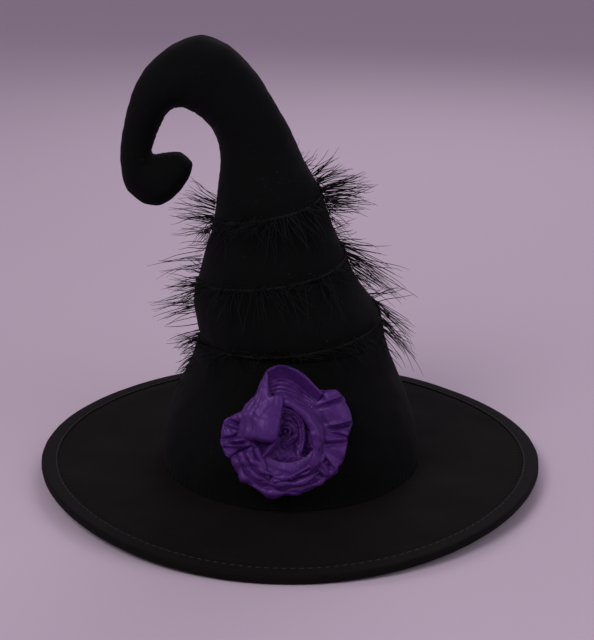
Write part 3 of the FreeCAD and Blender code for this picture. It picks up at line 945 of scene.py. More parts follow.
def crown_panel(side, name, node):
    """Half of the curled crown's cloth, with its seams, creases and gathers and a closed tip."""
    at = np.linspace(0, LAST_STATION, 8 * LAST_STATION + 1)
    even = np.linspace(0, 1, 73)
    angles = math.pi * (0.55 * even + 0.45 * (0.5 - 0.5 * np.cos(math.pi * even)))
    points = crown_grid(at, angles, 0.0, side)
    steps = np.linalg.norm(np.diff(points, axis=1), axis=2)
    along = np.concatenate([np.zeros((len(at), 1)), np.cumsum(steps, axis=1)], axis=1)
    from_seam = np.minimum(along, along[:, -1:] - along)
    centre = points.mean(axis=1)
    run = distance_along(centre)[:, None]
    normals = -side * grid_normals(points)
    outward = points - centre[:, None]
    outward[:, :, 1] = points[:, :, 1]
    normals *= np.sign((normals * outward).sum(-1, keepdims=True))
    normals = flat_at_seams(normals)
    tip = 1 - smooth_step(LAST_STATION - 3, LAST_STATION, at)[:, None]
    seam = -0.8 * MM * bump(from_seam, 0, 1.5 * MM)
    phase = run * TURN / (7.5 * MM) + 1.3 * np.sin(run * 60)
    pucker = 0.12 * MM * bump(from_seam, 0, 5 * MM) * np.sin(phase)
    pressed = curl_folds(at, angles) * (1 - 0.8 * bump(from_seam, 0, 8 * MM))
    out = cloth_unevenness(points) + trim_groove(points) + pressed + (seam + pucker) * tip
    out = out * np.clip(tip + 0.15, 0, 1) + waist_relief(points) * smooth_step(4, 1, at)[:, None]
    points = points + normals * above_foam(out, points[..., 2])[..., None]
    ends = []
    for shrink, push in ((0.8, 0.5 * MM), (0.5, 0.9 * MM), (0.02, 1.1 * MM)):
        heading = unit(centre[-1] - centre[-3])
        middle = centre[-1] * (1, 0, 1)
        ends.append(middle + (points[-1] - middle) * shrink + heading * push)
    points = np.concatenate([points, np.array(ends)])
    half_width = np.linalg.norm(points[:, 0] - points[:, -1], axis=1) / 2
    thickness = np.minimum(CLOTH, 0.35 * half_width)[:, None]
    inward = grid_normals(points)
    last = np.repeat(normals[-1:], len(ends), axis=0)
    reference = np.concatenate([normals, last])
    inward *= np.sign((inward * reference).sum(-1, keepdims=True) + 1e-9)
    cloth = Cloth()
    cloth.shell(points, thickness, normals=flat_at_seams(inward))
    piece = cloth.finish(name, crown_felt, "crown_felt", node)


def level_grid(depth, side, heights, angles):
    """Points at a depth under the crown's surface, at level heights."""
    fine = crown_grid(np.linspace(0, LAST_RISING_STATION, 171), angles, depth, side)
    points = np.empty((len(heights), len(angles), 3))
    for column in range(len(angles)):
        for axis in range(3):
            points[:, column, axis] = np.interp(heights, fine[:, column, 2], fine[:, column, axis])
    return points


def crown_layer(depths, levels, side, wave, seed, closed_top):
    """Half of a layer inside the crown; a closed top is drawn together like a bag."""
    heights = np.linspace(*levels, 62)
    angles = np.linspace(0, math.pi, 61)
    outer = level_grid(depths[0], side, heights, angles)
    inner = level_grid(depths[1], side, heights, angles)
    centre = outer.mean(axis=1, keepdims=True) * (1, 0, 1)
    sway = (wave * ripples(outer, 26 * MM, seed))[..., None] * unit(outer - centre) * (1, 0, 0)
    outer = outer - np.abs(sway) * np.sign(outer - centre)
    inner = inner - np.abs(sway) * np.sign(inner - centre)
    if closed_top:
        outer, inner = (drawn_together(face, rise) for face, rise in ((outer, 9 * MM), (inner, 8.4 * MM)))
    cloth = Cloth()
    thickness = np.linalg.norm(outer - inner, axis=-1)
    cloth.shell(outer, thickness, normals=unit(outer - inner))
    return cloth


def drawn_together(face, rise):
    """Adds rows that gather a half ring's top edge in to its middle."""
    middle = face[-1].mean(axis=0) * (1, 0, 1)
    rows = []
    for share in (0.25, 0.5, 0.7, 0.85, 0.95, 0.995):
        folds = 1 + 0.08 * share * np.sin(np.linspace(0, 14 * math.pi, len(face[-1])))[:, None]
        row = middle + (face[-1] - middle) * (1 - share) * folds
        row[:, 2] += rise * math.sin(share * math.pi / 2)
        rows.append(row)
    return np.concatenate([face, np.array(rows)])


def tip_stuffing():
    """Two wads of fibre, front and back, with the shaping wire between them."""
    gap = 1.1 * MM
    at = np.linspace(*FILLED_STATIONS, 120)
    angles = np.linspace(0, math.pi, 37)
    cloth = Cloth()
    for side in (-1, 1):
        arc_points = crown_grid(at, angles, STUFFING_DEPTH, side)
        arc_points[..., 1] = side * gap + arc_points[..., 1] * 0.93
        share = np.linspace(0, 1, 14)[1:-1]
        flat = arc_points[:, -1:] + (arc_points[:, :1] - arc_points[:, -1:]) * share[None, :, None]
        loop = np.concatenate([arc_points, flat], axis=1)
        centre = loop.mean(axis=1, keepdims=True)
        lumps = 0.6 * np.abs(ripples(loop, 9 * MM, 91)) + 0.4 * np.abs(ripples(loop, 4 * MM, 92))
        reach = np.linalg.norm(loop - centre, axis=-1)
        keep = 1 - np.minimum(1.1 * MM * lumps / np.maximum(reach, 1 * MM), 0.5)
        keep[:, len(angles):] = 1
        loop = centre + (loop - centre) * keep[..., None]
        first = [centre[0] + (loop[0] - centre[0]) * s for s in (0.01, 0.5, 0.85)]
        last = [centre[-1] + (loop[-1] - centre[-1]) * s for s in (0.85, 0.5, 0.01)]
        cloth.grid(np.concatenate([np.array(first), loop, np.array(last)]), False, True)
    cloth.finish("tip_filling", fibre_fill, "stuffing", "crown_tip_stuffing")


def build_crown():
    crown_panel(-1, "front_panel_cloth", "crown_front_panel")
    crown_panel(1, "back_panel_cloth", "crown_back_panel")
    for side, name in ((-1, "front"), (1, "back")):
        foam = crown_layer(FOAM_DEPTHS, CROWN_FOAM_LEVELS, side, 0.0, 83, False)
        piece = foam.finish(f"{name}_foam", sheet_foam, "foam", f"crown_{name}_foam")
        lining = crown_layer(LINING_DEPTHS, CROWN_LINING_LEVELS, side, 0.8 * MM, 84, True)
        piece = lining.finish(f"{name}_lining", lining_weave, "lining_satin", f"crown_{name}_lining")
    tip_stuffing()


# ---------------------------------------------------------------- feather trim

def crown_surface(turn, z, stand_off):
    """Points outside the crown at turns, heights and distances from its surface."""
    stations = CROWN_STATIONS[:12]
    on_base = z < WAIST_Z
    x_out = np.where(on_base, base_radius(z), np.interp(z, stations[:, 3], stations[:, 2]))
    x_in = np.where(on_base, -base_radius(z), np.interp(z, stations[:, 1], stations[:, 0]))
    depth = np.where(on_base, base_radius(z), np.interp(z, stations[:, 1], stations[:, 4]))
    angle = -TURN * turn
    across = (x_out - x_in) / 2 + stand_off
    x = (x_in + x_out) / 2 + across * np.cos(angle)
    return np.stack([x, (depth + stand_off) * np.sin(angle), z + 0 * x], -1)


def trim_height(turn):
    return TRIM_FIRST_Z - TRIM_PITCH * turn


def trim_cord():
    """Two-ply cord laid into the crown's cloth, each ply twisted round the other."""
    turn = np.linspace(TRIM_START_TURN, TRIM_END_TURN, 1700)
    middle = crown_surface(turn, trim_height(turn), 0.5 * MM)
    tangent = unit(np.gradient(middle, axis=0))
    outward = unit(middle - crown_surface(turn, trim_height(turn), -5 * MM))
    sideways = np.cross(tangent, outward)
    run = distance_along(middle)
    cloth = Cloth()
    for ply in range(2):
        twist = TURN * run / (6.5 * MM) + math.pi * ply
        path = middle + 0.55 * MM * (outward * np.cos(twist)[:, None] + sideways * np.sin(twist)[:, None])
        cloth.tube(path, 0.62 * MM, 7)
    cloth.finish("trim_twisted_cord", cord_twist, "trim_cord", "feather_trim_cord")


# Tufts at each side crossing of the cord: height from the cord (mm), slope (degrees above level),
# length (mm) and number of barbs
SIDE_TUFTS = [
    [(9, 42, 22, 7), (7, 32, 30, 11), (3, 21, 38, 13), (-1, 12, 42, 14), (-5, 5, 41, 13), (-10, 0, 35, 9),
     (-15, -4, 28, 6)],
    [(19, 34, 26, 5), (15, 24, 30, 6), (10, 19, 33, 7), (4, 13, 37, 7), (-3, 8, 35, 7), (-10, 4, 30, 6),
     (-17, 3, 24, 3),
     (-25, -6, 36, 4), (-33, -3, 40, 6)],
    [(9, -14, 40, 6), (4, -18, 45, 8), (-3, -24, 55, 11), (-10, -31, 48, 10), (-17, -38, 40, 6)],
    [(-5, -10, 33, 6), (-13, -13, 37, 7), (-21, -11, 34, 7), (-29, -11, 31, 7), (-37, -13, 28, 7),
     (-44, -17, 24, 6),
     (-50, -20, 19, 5)],
    [(9, -34, 34, 8), (2, -38, 40, 11), (-6, -41, 39, 11), (-14, -39, 31, 8), (-24, -36, 20, 6)],
    [(-7, -24, 17, 6), (-14, -28, 15, 7), (-21, -34, 14, 7), (-28, -38, 12, 6), (-34, -40, 10, 4)],
]


def barb_path(root, heading, length, bend, sway):
    """Barb that starts along its heading, bends away and wavers a little."""
    share = np.linspace(0, 1, 12)[:, None]
    waver = sway * np.sin(share * 7.5 + sway[0] * 40) * share
    return root + length * (heading * share + bend * share ** 2.2 + waver)


def add_tuft(cloth, random, turn, z, slope, length, count, spread, lean):
    """Barbs from one quill tip, fanned in the plane that stands off the crown."""
    for _ in range(count):
        at = turn + random.normal(0, 0.016)
        height = z + random.normal(0, 1.6 * MM)
        root = crown_surface(np.array(at), np.array(height), 0.2 * MM)
        outward = unit(crown_surface(np.array(at), np.array(height), 10 * MM) - root)
        level = unit(outward * (1, 1, 0))
        around = np.cross(level, (0, 0, 1))
        angle = math.radians(slope + random.normal(0, spread))
        upward = np.array([0, 0, math.sin(angle)])
        heading = unit(level * math.cos(angle) + upward + around * random.normal(lean, 0.16))
        long = length * random.uniform(0.68, 1.08)
        bend = np.array([0, 0, random.normal(-0.07, 0.10)]) + around * random.normal(0, 0.14)
        path = barb_path(root, heading, long, bend, random.normal(0, 0.026, 3))
        thickness = random.uniform(0.20, 0.36) * MM
        cloth.tube(path, thickness * np.linspace(1, 0, 12) ** 0.6 + 0.06 * MM, 4)


def feather_fringe(index):
    """All the barbs on one half turn of the cord: side tufts, and flatter tufts round to its ends."""
    random = np.random.default_rng(100 + index)
    cloth = Cloth()
    middle = index / 2
    for height, slope, length, count in SIDE_TUFTS[index]:
        z = trim_height(middle) + height * MM
        add_tuft(cloth, random, middle + random.normal(0, 0.022), z, slope, length * MM, count, 4.5, 0.0)
    for offset in np.linspace(-0.24, 0.24, 23):
        if abs(offset) < 0.05:
            continue
        turn = middle + offset + random.normal(0, 0.004)
        slope = random.uniform(-70, 30)
        length = random.uniform(22, 36) * MM
        above_rosette = abs(middle + offset - ROSETTE_TURN) < 0.09
        if above_rosette:
            slope = abs(slope)
            length *= 0.6
        add_tuft(cloth, random, turn, trim_height(turn), slope, length, 9, 13, random.normal(0, 0.45))
    cloth.finish(f"fringe_barbs_{index + 1}", feather_barb, "feather", f"feather_fringe_{index + 1}")


def build_feather_trim():
    trim_cord()
    for index in range(len(SIDE_TUFTS)):
        feather_fringe(index)


# ---------------------------------------------------------------- rosette

backing_low, backing_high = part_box("rosette_backing")
ROSETTE_OUT = np.array([0, -math.cos(ROSETTE_TILT), math.sin(ROSETTE_TILT)])
ROSETTE_UP = np.array([0, math.sin(ROSETTE_TILT), math.cos(ROSETTE_TILT)])
ROSETTE_RIGHT = np.array([1.0, 0, 0])
ROSETTE_FOOT = np.array((backing_low + backing_high) / 2) - ROSETTE_OUT * BACKING_THICKNESS / 2


def on_rosette(local):
    """Points in the hat's frame, in metres, from the rosette's own (u, v, n) in millimetres."""
    local = np.asarray(local, float) * MM
    across = ROSETTE_FOOT + local[..., :1] * ROSETTE_RIGHT
    return across + local[..., 1:2] * ROSETTE_UP + local[..., 2:] * ROSETTE_OUT


def net_surface(net, rows, columns):
    """Smooth surface through a net of control points."""
    net = np.array(net, float)
    down = smooth_between(net, np.linspace(0, net.shape[0] - 1, rows))
    sideways = smooth_between(down.transpose(1, 0, 2), np.linspace(0, net.shape[1] - 1, columns))
    return sideways.transpose(1, 0, 2)


def crumple(local, amount, seed, size=17):
    """Adds the crisp folds of crushed satin, large ones and small ones, in millimetres."""
    normals = grid_normals(local)
    large = facets(local, size, seed)
    small = facets(local, 0.35 * size, seed + 10) * 0.34
    return local + normals * (amount * (large + small))[..., None]


def pleats(local, share, count, depth, wander, seed):
    """Adds folds that run along the surface where share, from 0 to 1, goes across them."""
    normals = grid_normals(local)
    phase = count * share + wander * ripples(local, 30, seed)
    ridge = 1 - 2 * np.abs((phase % 1.0) - 0.5)
    return local + normals * (depth * (ridge ** 1.4 - 0.4))[..., None]


def shares(grid):
    """Row and column shares, from 0 to 1, for each point of a grid."""
    down = np.linspace(0, 1, grid.shape[0])[:, None]
    across = np.linspace(0, 1, grid.shape[1])[None, :]
    return np.broadcast_to(down, grid.shape[:2]), np.broadcast_to(across, grid.shape[:2])


def satin_piece(name, node, grids):
    """One piece of ribbon made of one or more folded sheets."""
    cloth = Cloth()
    for grid, wrap in grids:
        cloth.shell(on_rosette(grid), SATIN, wrap_columns=wrap)
    piece = cloth.finish(name, violet_satin, "rosette_satin", node)


# Outline of the outer ruffle: angle (degrees from u) and radius (mm)
RUFFLE_RIM = [
    (0, 46.5), (8, 48.4), (18, 49.0), (30, 48.6), (40, 47.0), (47, 41.0), (56, 36.0), (72, 35.0), (90, 36.0),
    (105, 36.0), (126, 33.0), (149, 32.5), (160, 38.0), (172, 47.0), (183, 49.5), (191, 50.0), (203, 48.6),
    (212, 45.0), (222, 44.0), (237, 45.0), (257, 45.5), (274, 45.5), (289, 45.5), (302, 44.5), (317, 45.6),
    (329, 47.3), (342, 45.7), (354, 44.6),
]
# Creases across the ruffle: angle, slant over its width, depth and half width
RUFFLE_CREASES = [
    (3, 7, 4.6, 1.5), (33, -7, 3.4, 1.4), (343, 12, 3.4, 2.0), (322, -8, 2.6, 1.6), (356, -6, 2.4, 1.2),
    (304, 8, 2.4, 1.5),
    (186, 8, 4.0, 1.6), (205, 4, 3.4, 1.4), (173, -6, 2.8, 1.3), (195, -9, 2.6, 1.1),
]
# Cross-section of the ruffle: share of the way out to the rim and height (mm)
RUFFLE_SECTION = [
    (0.00, 2.0), (0.35, 2.4), (0.75, 3.4), (0.96, 4.8), (1.00, 6.6), (0.95, 8.6), (0.80, 10.0), (0.55, 11.0),
    (0.25, 11.4), (0.02, 9.8),
]


def outer_ruffle():
    """Gathered ruffle all round the rosette: ribbon folded over at the rim and pleated."""
    columns = 420
    angle = TURN * np.arange(columns) / columns
    rim = np.array(RUFFLE_RIM + [(360 + RUFFLE_RIM[0][0], RUFFLE_RIM[0][1])])
    rim_radius = np.interp(np.degrees(angle), rim[:, 0], rim[:, 1])
    section = smooth_between(np.array(RUFFLE_SECTION), np.linspace(0, len(RUFFLE_SECTION) - 1, 46))
    share, height = section[:, :1], section[:, 1:]
    circle = turned(np.full(columns, 40.0), 0, angle)
    gather = np.abs(np.sin(5 * angle + 1.4 * ripples(circle, 60, 201)))
    foot = 23.0
    radius = foot + (rim_radius - foot) * share - 1.0 * share * (1 - gather)
    upper = smooth_step(5.0, 8.0, height)
    degrees = np.degrees(angle)
    under_hood = smooth_step(42, 56, degrees) * (1 - smooth_step(146, 162, degrees))
    on_left = smooth_step(158, 168, degrees) * (1 - smooth_step(215, 235, degrees))
    height = height * (1 - 0.5 * under_hood * upper - 0.12 * on_left * upper)
    n = height + upper * share * (1.1 * gather * (1 - under_hood) - 1.0)
    for centre, slant, depth, width in RUFFLE_CREASES:
        away = (degrees[None] - centre - slant * (share - 0.5) + 180) % 360 - 180
        run = smooth_step(0.1, 0.55, share)
        n = n - depth * upper * bump(np.radians(away) * radius, 0, width) * run
        n = n + 0.45 * depth * upper * bump(np.radians(away) * radius, 1.9 * width, width) * run
    grid = np.stack([radius * np.cos(angle), radius * np.sin(angle), n], -1)
    strength = upper * (0.6 + 0.8 * on_left) * (1 - 0.6 * under_hood)
    large = facets(grid, 15, 203) + 0.3 * facets(grid, 6, 204)
    grid[..., 2] += 1.15 * strength * large
    lowest = 1.8 + 0.5 * share + upper * (2.2 + 1.4 * share)
    grid[..., 2] = np.maximum(grid[..., 2], lowest)
    satin_piece("ruffle_outer", "rosette_outer_ruffle", [(grid, True)])


def petal_upper_left():
    """Large folded petal: smooth bright front, pleats from its apex to its lower left edge."""
    net = [
        [(-14.0, 40.5, 6), (-15.2, 42.0, 9), (-15.6, 43.0, 11.5), (-15.2, 43.2, 13), (-14.6, 42.4, 13.5),
         (-14.2, 41.4, 11)],
        [(-20.0, 31.0, 5), (-21.6, 31.0, 8), (-19.2, 31.0, 12.5), (-16.4, 31.0, 15), (-14.4, 30.6, 15.5),
         (-13.8, 30.2, 11.5)],
        [(-23.6, 24.6, 5), (-25.4, 24.6, 8), (-21.2, 24.4, 14), (-16.6, 24.4, 17), (-12.8, 24.8, 17.5),
         (-11.4, 24.8, 12.5)],
        [(-26.0, 20.6, 4), (-28.0, 20.0, 8), (-22.4, 19.6, 15), (-15.6, 20.6, 18.6), (-5.2, 24.4, 19.5),
         (-3.0, 25.0, 14)],
        [(-31.0, 10.5, 4), (-33.4, 9.4, 8), (-26.2, 9.0, 16.5), (-16.8, 9.4, 20.4), (-5.6, 11.2, 20.5),
         (-3.6, 11.4, 14)],
        [(-33.0, -1.0, 4), (-35.4, -2.6, 8), (-28.2, -3.2, 17.5), (-18.4, -4.4, 21.5), (-8.4, -5.4, 20.5),
         (-6.6, -5.2, 14)],
        [(-31.5, -3.6, 4), (-34.0, -5.4, 7), (-27.2, -6.2, 13), (-18.2, -7.4, 16.5), (-9.2, -8.0, 15.5),
         (-7.4, -7.6, 11)],
        [(-30.0, -2.0, 3.5), (-31.0, -3.6, 5), (-25.4, -4.4, 8), (-17.2, -5.2, 10), (-9.8, -5.6, 10),
         (-8.4, -5.2, 8)],
    ]
    grid = net_surface(net, 110, 96)
    down, across = shares(grid)
    left = (1 - smooth_step(0.40, 0.56, across)) * smooth_step(0.02, 0.2, down)
    left = left * (1 - smooth_step(0.74, 0.84, down))
    grid = pleats(grid, across + 0.14 * down, 9, 1.15 * left, 0.16, 211)
    grid = crumple(grid, 0.3 + 0.35 * left, 214)
    satin_piece("petal_large_left", "rosette_petal_upper_left", [(grid, False)])


def petal_top():
    """Hood at the top: outer wall, rolled rim and a hollow, finely pleated inner face."""
    net = [
        [(-13.0, 40.5, 4), (-8.5, 42.8, 4), (-2.0, 43.2, 4), (4.8, 41.2, 4), (12.0, 36.6, 4),
         (18.6, 30.2, 4), (24.0, 25.0, 4)],
        [(-15.0, 43.8, 11), (-8.8, 46.8, 12), (-2.2, 47.2, 13), (5.6, 44.8, 13.5), (13.4, 39.4, 13.5),
         (20.0, 32.8, 12.5), (25.6, 27.2, 11.5)],
        [(-14.8, 43.4, 14.5), (-8.7, 46.2, 16.5), (-2.2, 46.6, 17.5), (5.4, 44.2, 18.5),
         (13.1, 38.9, 18.5), (19.6, 32.4, 17.5), (25.2, 26.9, 16)],
        [(-14.6, 42.6, 14), (-8.6, 45.0, 15), (-2.2, 45.2, 15.5), (5.2, 42.8, 16), (12.6, 37.7, 16),
         (18.9, 31.4, 15.5), (24.4, 26.1, 14.5)],
        [(-16.5, 37.0, 9.5), (-8.6, 38.6, 9), (-2.2, 38.0, 9), (4.2, 35.8, 9), (10.8, 31.6, 9),
         (16.8, 26.4, 9.5), (22.6, 21.8, 11)],
        [(-16.5, 30.6, 8), (-8.2, 30.4, 7), (-1.4, 29.2, 7), (5.2, 27.2, 6.5), (11.2, 24.0, 6.5),
         (16.8, 20.6, 7.5), (22.0, 17.4, 9.5)],
        [(-15.5, 23.6, 7.5), (-7.4, 23.2, 6.5), (-0.8, 22.0, 6), (5.2, 20.2, 5.5), (10.6, 17.8, 5.5),
         (15.8, 15.4, 6.5), (21.0, 13.4, 8.5)],
    ]
    grid = net_surface(net, 96, 96)
    down, across = shares(grid)
    inside = smooth_step(0.6, 0.7, down)
    grid = pleats(grid, down + 0.05 * np.sin(across * 5) + 0.10 * across, 17, 0.42 * inside, 0.22, 221)
    hollow = bump(across, 0.72, 0.13) * bump(down, 0.72, 0.14)
    grid[..., 2] -= 2.6 * hollow
    grid = crumple(grid, 0.1 + 0.5 * inside, 224)
    satin_piece("petal_hood", "rosette_petal_top", [(grid, False)])


def petal_right():
    """Smooth rolled band from the top centre round the right side, hollow under its inner edge."""
    outer = [(-11.0, 28.0), (0.7, 26.2), (12.6, 20.6), (21.6, 13.6), (27.4, 3.7), (28.2, -9.6),
        (26.2, -22.9), (21.6, -31.8), (15.0, -36.0)]
    inner = [(-3.5, 18.0), (1.6, 18.2), (7.2, 14.0), (12.8, 8.4), (17.0, 0.7), (18.4, -9.6), (17.6, -20.0),
        (15.2, -27.3), (11.6, -30.8)]
    crest = [15.0, 18.5, 20.5, 21.0, 20.5, 20.0, 18.0, 14.5, 11.0]
    net = []
    for (u0, v0), (u1, v1), top in zip(outer, inner, crest):
        section = [
            (0.14, 3.0), (0.0, 0.42 * top), (0.22, 0.74 * top), (0.55, 0.97 * top), (0.86, top),
            (1.0, top - 1.2), (0.98, top - 4.0), (0.88, 0.45 * top),
        ]
        net.append([(u0 + (u1 - u0) * share, v0 + (v1 - v0) * share, height) for share, height in section])
    grid = net_surface(net, 130, 70)
    down, across = shares(grid)
    grid = pleats(grid, across + 0.15 * np.sin(down * 6), 4, 0.35 * smooth_step(0.3, 0.6, across), 0.2, 231)
    grid = crumple(grid, 0.75, 234)
    satin_piece("petal_band_right", "rosette_petal_right", [(grid, False)])


def ridge_strip(spine, width, height):
    """Narrow folded strip along a spine: two slopes that meet on a rounded crest."""
    spine = np.array(spine, float)
    at = np.linspace(0, len(spine) - 1, 46)
    line = smooth_between(spine, at)
    heading = unit(np.gradient(line[:, :2], axis=0))
    side = np.stack([-heading[:, 1], heading[:, 0]], 1)
    taper = np.sin(np.linspace(0.18, 0.92, 46) * math.pi) ** 0.5
    section = [
        (-1.0, 0.0), (-0.9, 0.4), (-0.55, 0.82), (-0.12, 1.0), (0.3, 0.93), (0.7, 0.6), (0.95, 0.25),
        (0.8, 0.0),
    ]
    rows = []
    for share, rise in section:
        offset = side * (width / 2 * share * taper)[:, None]
        n = line[:, 2] - height * (1 - rise)
        rows.append(np.concatenate([line[:, :2] + offset, n[:, None]], 1))
    net = np.array(rows)
    return smooth_between(net, np.linspace(0, len(rows) - 1, 34)).transpose(1, 0, 2)


def petal_lower_left():
    """Narrow folds at the lower left, over a dished sheet."""
    net = [
        [(-4.0, -5.0, 7), (-9.0, -6.0, 6), (-15.0, -6.5, 5), (-22.0, -7.0, 5), (-29.0, -8.0, 5)],
        [(-6.0, -11.0, 6), (-11.0, -12.0, 5.5), (-17.5, -13.0, 6), (-24.5, -14.0, 7), (-30.5, -14.0, 6.5)],
        [(-9.0, -18.0, 7), (-13.5, -19.0, 8.5), (-19.0, -20.5, 10), (-25.5, -21.5, 10.5), (-30.0, -21.0, 8)],
        [(-10.5, -25.0, 7), (-14.0, -26.5, 9), (-18.5, -28.0, 10), (-23.5, -29.5, 9.5), (-27.5, -29.0, 7)],
        [(-10.0, -32.0, 7), (-12.5, -34.0, 8.5), (-15.5, -35.5, 9), (-19.0, -36.5, 8), (-22.0, -36.0, 6)],
    ]
    sheet = crumple(net_surface(net, 64, 64), 0.9, 241)
    # Each fold: its crest line, width, height, amount of crumpling and seed
    folds = [
        ([(-5.5, -4.6, 17.5), (-10.0, -10.2, 16.5), (-14.6, -15.8, 14.5), (-18.8, -20.6, 12.5)],
         6.0, 7.0, 0.4, 244),
        ([(-22.4, -12.6, 14.5), (-19.6, -20.0, 15.0), (-16.6, -27.4, 14.0), (-13.2, -35.6, 11.5)],
         6.4, 7.0, 0.45, 247),
        ([(-26.5, -14.5, 13.0), (-24.2, -21.6, 13.5), (-21.6, -28.6, 12.5), (-17.6, -36.0, 10.0)],
         5.0, 6.0, 0.45, 250),
    ]
    grids = [(sheet, False)]
    for crest, width, height, amount, seed in folds:
        grids.append((crumple(ridge_strip(crest, width, height), amount, seed), False))
    satin_piece("petal_folds_left", "rosette_petal_lower_left", grids)


def petal_bottom():
    """Three overlapping crescents of ribbon along the lower edge."""
    section = np.array([
        (24.0, 8.0), (27.0, 11.5), (30.0, 14.5), (32.4, 14.8), (32.8, 12.4), (31.6, 10.4), (33.6, 10.2),
        (36.6, 12.4), (38.8, 12.2), (39.2, 9.8), (38.0, 8.2), (40.4, 8.0), (43.4, 9.4), (46.2, 8.6),
        (47.0, 6.2), (45.4, 3.8), (40.0, 3.0),
    ])
    around = np.radians(np.linspace(205, 328, 120))
    profile = smooth_between(section, np.linspace(0, len(section) - 1, 96))
    rows = []
    for angle in around:
        share = (angle - around[0]) / (around[-1] - around[0])
        open_wide = np.sin(math.pi * np.clip(0.12 + 0.80 * share, 0, 1)) ** 0.6
        squeeze = 26.5 + (profile[:, 0] - 24.0) * (0.62 + 0.34 * open_wide)
        drift = 1.0 * math.sin(share * 7.0) * (profile[:, 0] - 24.0) / 23.0
        lift = profile[:, 1] * (0.72 + 0.28 * open_wide) + 0.7 * np.sin(share * 9.0 + profile[:, 0] * 0.22)
        radius = squeeze + drift
        rows.append(np.stack([radius * math.cos(angle), radius * math.sin(angle), np.maximum(lift, 2.4)], 1))
    grid = np.array(rows).transpose(1, 0, 2)
    grid = crumple(grid, 1.1, 261, 15)
    satin_piece("petal_crescents", "rosette_petal_bottom", [(grid, False)])


def petal_inner_top():
    """Cupped fold inside the right band, with stacked stripes above the eye."""
    rim = [(-9.0, 15.5), (-2.0, 17.0), (4.6, 14.8), (9.4, 11.2), (12.4, 5.0), (13.2, -2.0), (12.6, -9.0),
        (10.0, -16.0)]
    net = []
    for index, (u, v) in enumerate(rim):
        height = 15.0 - 0.35 * index
        section = [
            (1.12, 4.0), (1.10, 0.7 * height), (1.0, height), (0.88, height - 0.8), (0.72, height - 3.4),
            (0.55, height - 5.6), (0.42, height - 7.4),
        ]
        net.append([
            (EYE[0] + (u - EYE[0]) * share, EYE[1] + (v - EYE[1]) * share, n)
            for share, n in section
        ])
    grid = net_surface(net, 80, 76)
    down, across = shares(grid)
    stacked = smooth_step(0.35, 0.45, across)
    grid = pleats(grid, across + 0.05 * np.sin(down * 9), 7, 0.9 * stacked, 0.1, 271)
    grid = crumple(grid, 0.6, 274, 10)
    satin_piece("petal_cup", "rosette_petal_inner_top", [(grid, False)])


def petal_inner_bottom():
    """Dished facet under the eye that rises to a folded ridge."""
    net = [
        [(-13.0, 9.0, 7), (-6.0, 10.0, 7), (0.0, 10.0, 7), (8.0, 9.6, 7.5), (19.0, 8.0, 9)],
        [(-13.0, -5.0, 7), (-6.0, -4.0, 7.5), (0.0, -3.6, 8), (8.0, -4.0, 7.5), (20.5, -5.0, 8)],
        [(-13.4, -14.0, 5.5), (-6.5, -14.4, 4.6), (0.0, -14.0, 4.4), (8.0, -13.6, 5), (20.5, -12.6, 7.5)],
        [(-13.6, -22.0, 5.5), (-7.0, -23.0, 4.4), (0.0, -23.0, 4.2), (8.0, -21.0, 5), (19.5, -18.0, 7.5)],
        [(-12.4, -29.0, 6.5), (-7.0, -31.0, 6.2), (0.5, -30.6, 6.4), (8.8, -27.4, 7.5), (16.2, -23.4, 9)],
        [(-11.4, -34.0, 12), (-7.2, -35.6, 14), (1.2, -33.6, 15), (9.2, -29.4, 15.6), (16.6, -25.2, 15)],
        [(-11.2, -35.8, 12), (-7.0, -37.4, 13), (1.8, -35.2, 13.6), (10.0, -31.0, 14), (17.2, -26.8, 13.5)],
        [(-10.8, -34.6, 8), (-6.8, -36.0, 8), (1.6, -34.0, 8.5), (9.6, -30.0, 9), (16.8, -26.0, 9)],
    ]
    grid = net_surface(net, 96, 76)
    grid = crumple(grid, 1.0, 284, 12)
    satin_piece("petal_facet", "rosette_petal_inner_bottom", [(grid, False)])


def bud():
    """Ribbon stood on edge and rolled round the eye."""
    turns = 2.1
    at = np.linspace(0, 1, 190)
    angle = math.radians(110) + turns * TURN * at + 0.5 * np.sin(at * 15)
    radius = 0.5 + 9.2 * at + 0.8 * np.sin(at * 23) * smooth_step(0.1, 0.4, at)
    height = 11.0 + 2.2 * at + 1.3 * np.sin(at * 19)
    rows = []
    for share in np.linspace(0, 1, 22):
        lip = 0.5 * smooth_step(0.85, 1.0, share)
        closing = 1 - 0.75 * (1 - at) ** 2 * share
        r = radius * (0.82 + 0.3 * share) * closing + lip
        n = 4.0 + (height - 4.0) * share - 0.6 * lip
        rows.append(np.stack([EYE[0] + r * np.cos(angle), EYE[1] + r * np.sin(angle), n + 0 * r], 1))
    grid = crumple(np.array(rows), 0.75, 291, 8)
    satin_piece("bud_roll", "rosette_bud", [(grid, False)])


def rosette_backing():
    """Felt disc, cut by hand, behind the ribbon."""
    columns = 160
    angle = TURN * np.arange(columns) / columns
    edge = 29.0 + 0.35 * np.sin(7 * angle) + 0.2 * np.sin(17 * angle + 1)
    section = [(0.01, 0.15), (0.5, 0.12), (0.96, 0.1), (1.0, 0.5), (1.0, 1.1), (0.96, 1.5), (0.5, 1.48),
        (0.01, 1.45)]
    rows = []
    for share, n in section:
        rows.append(turned(edge * share, n, angle))
    cloth = Cloth()
    start = cloth.grid(on_rosette(np.array(rows)), False, True)
    cloth.caps(start, len(section), columns)
    piece = cloth.finish("rosette_felt_disc", violet_felt, "rosette_felt", "rosette_backing")


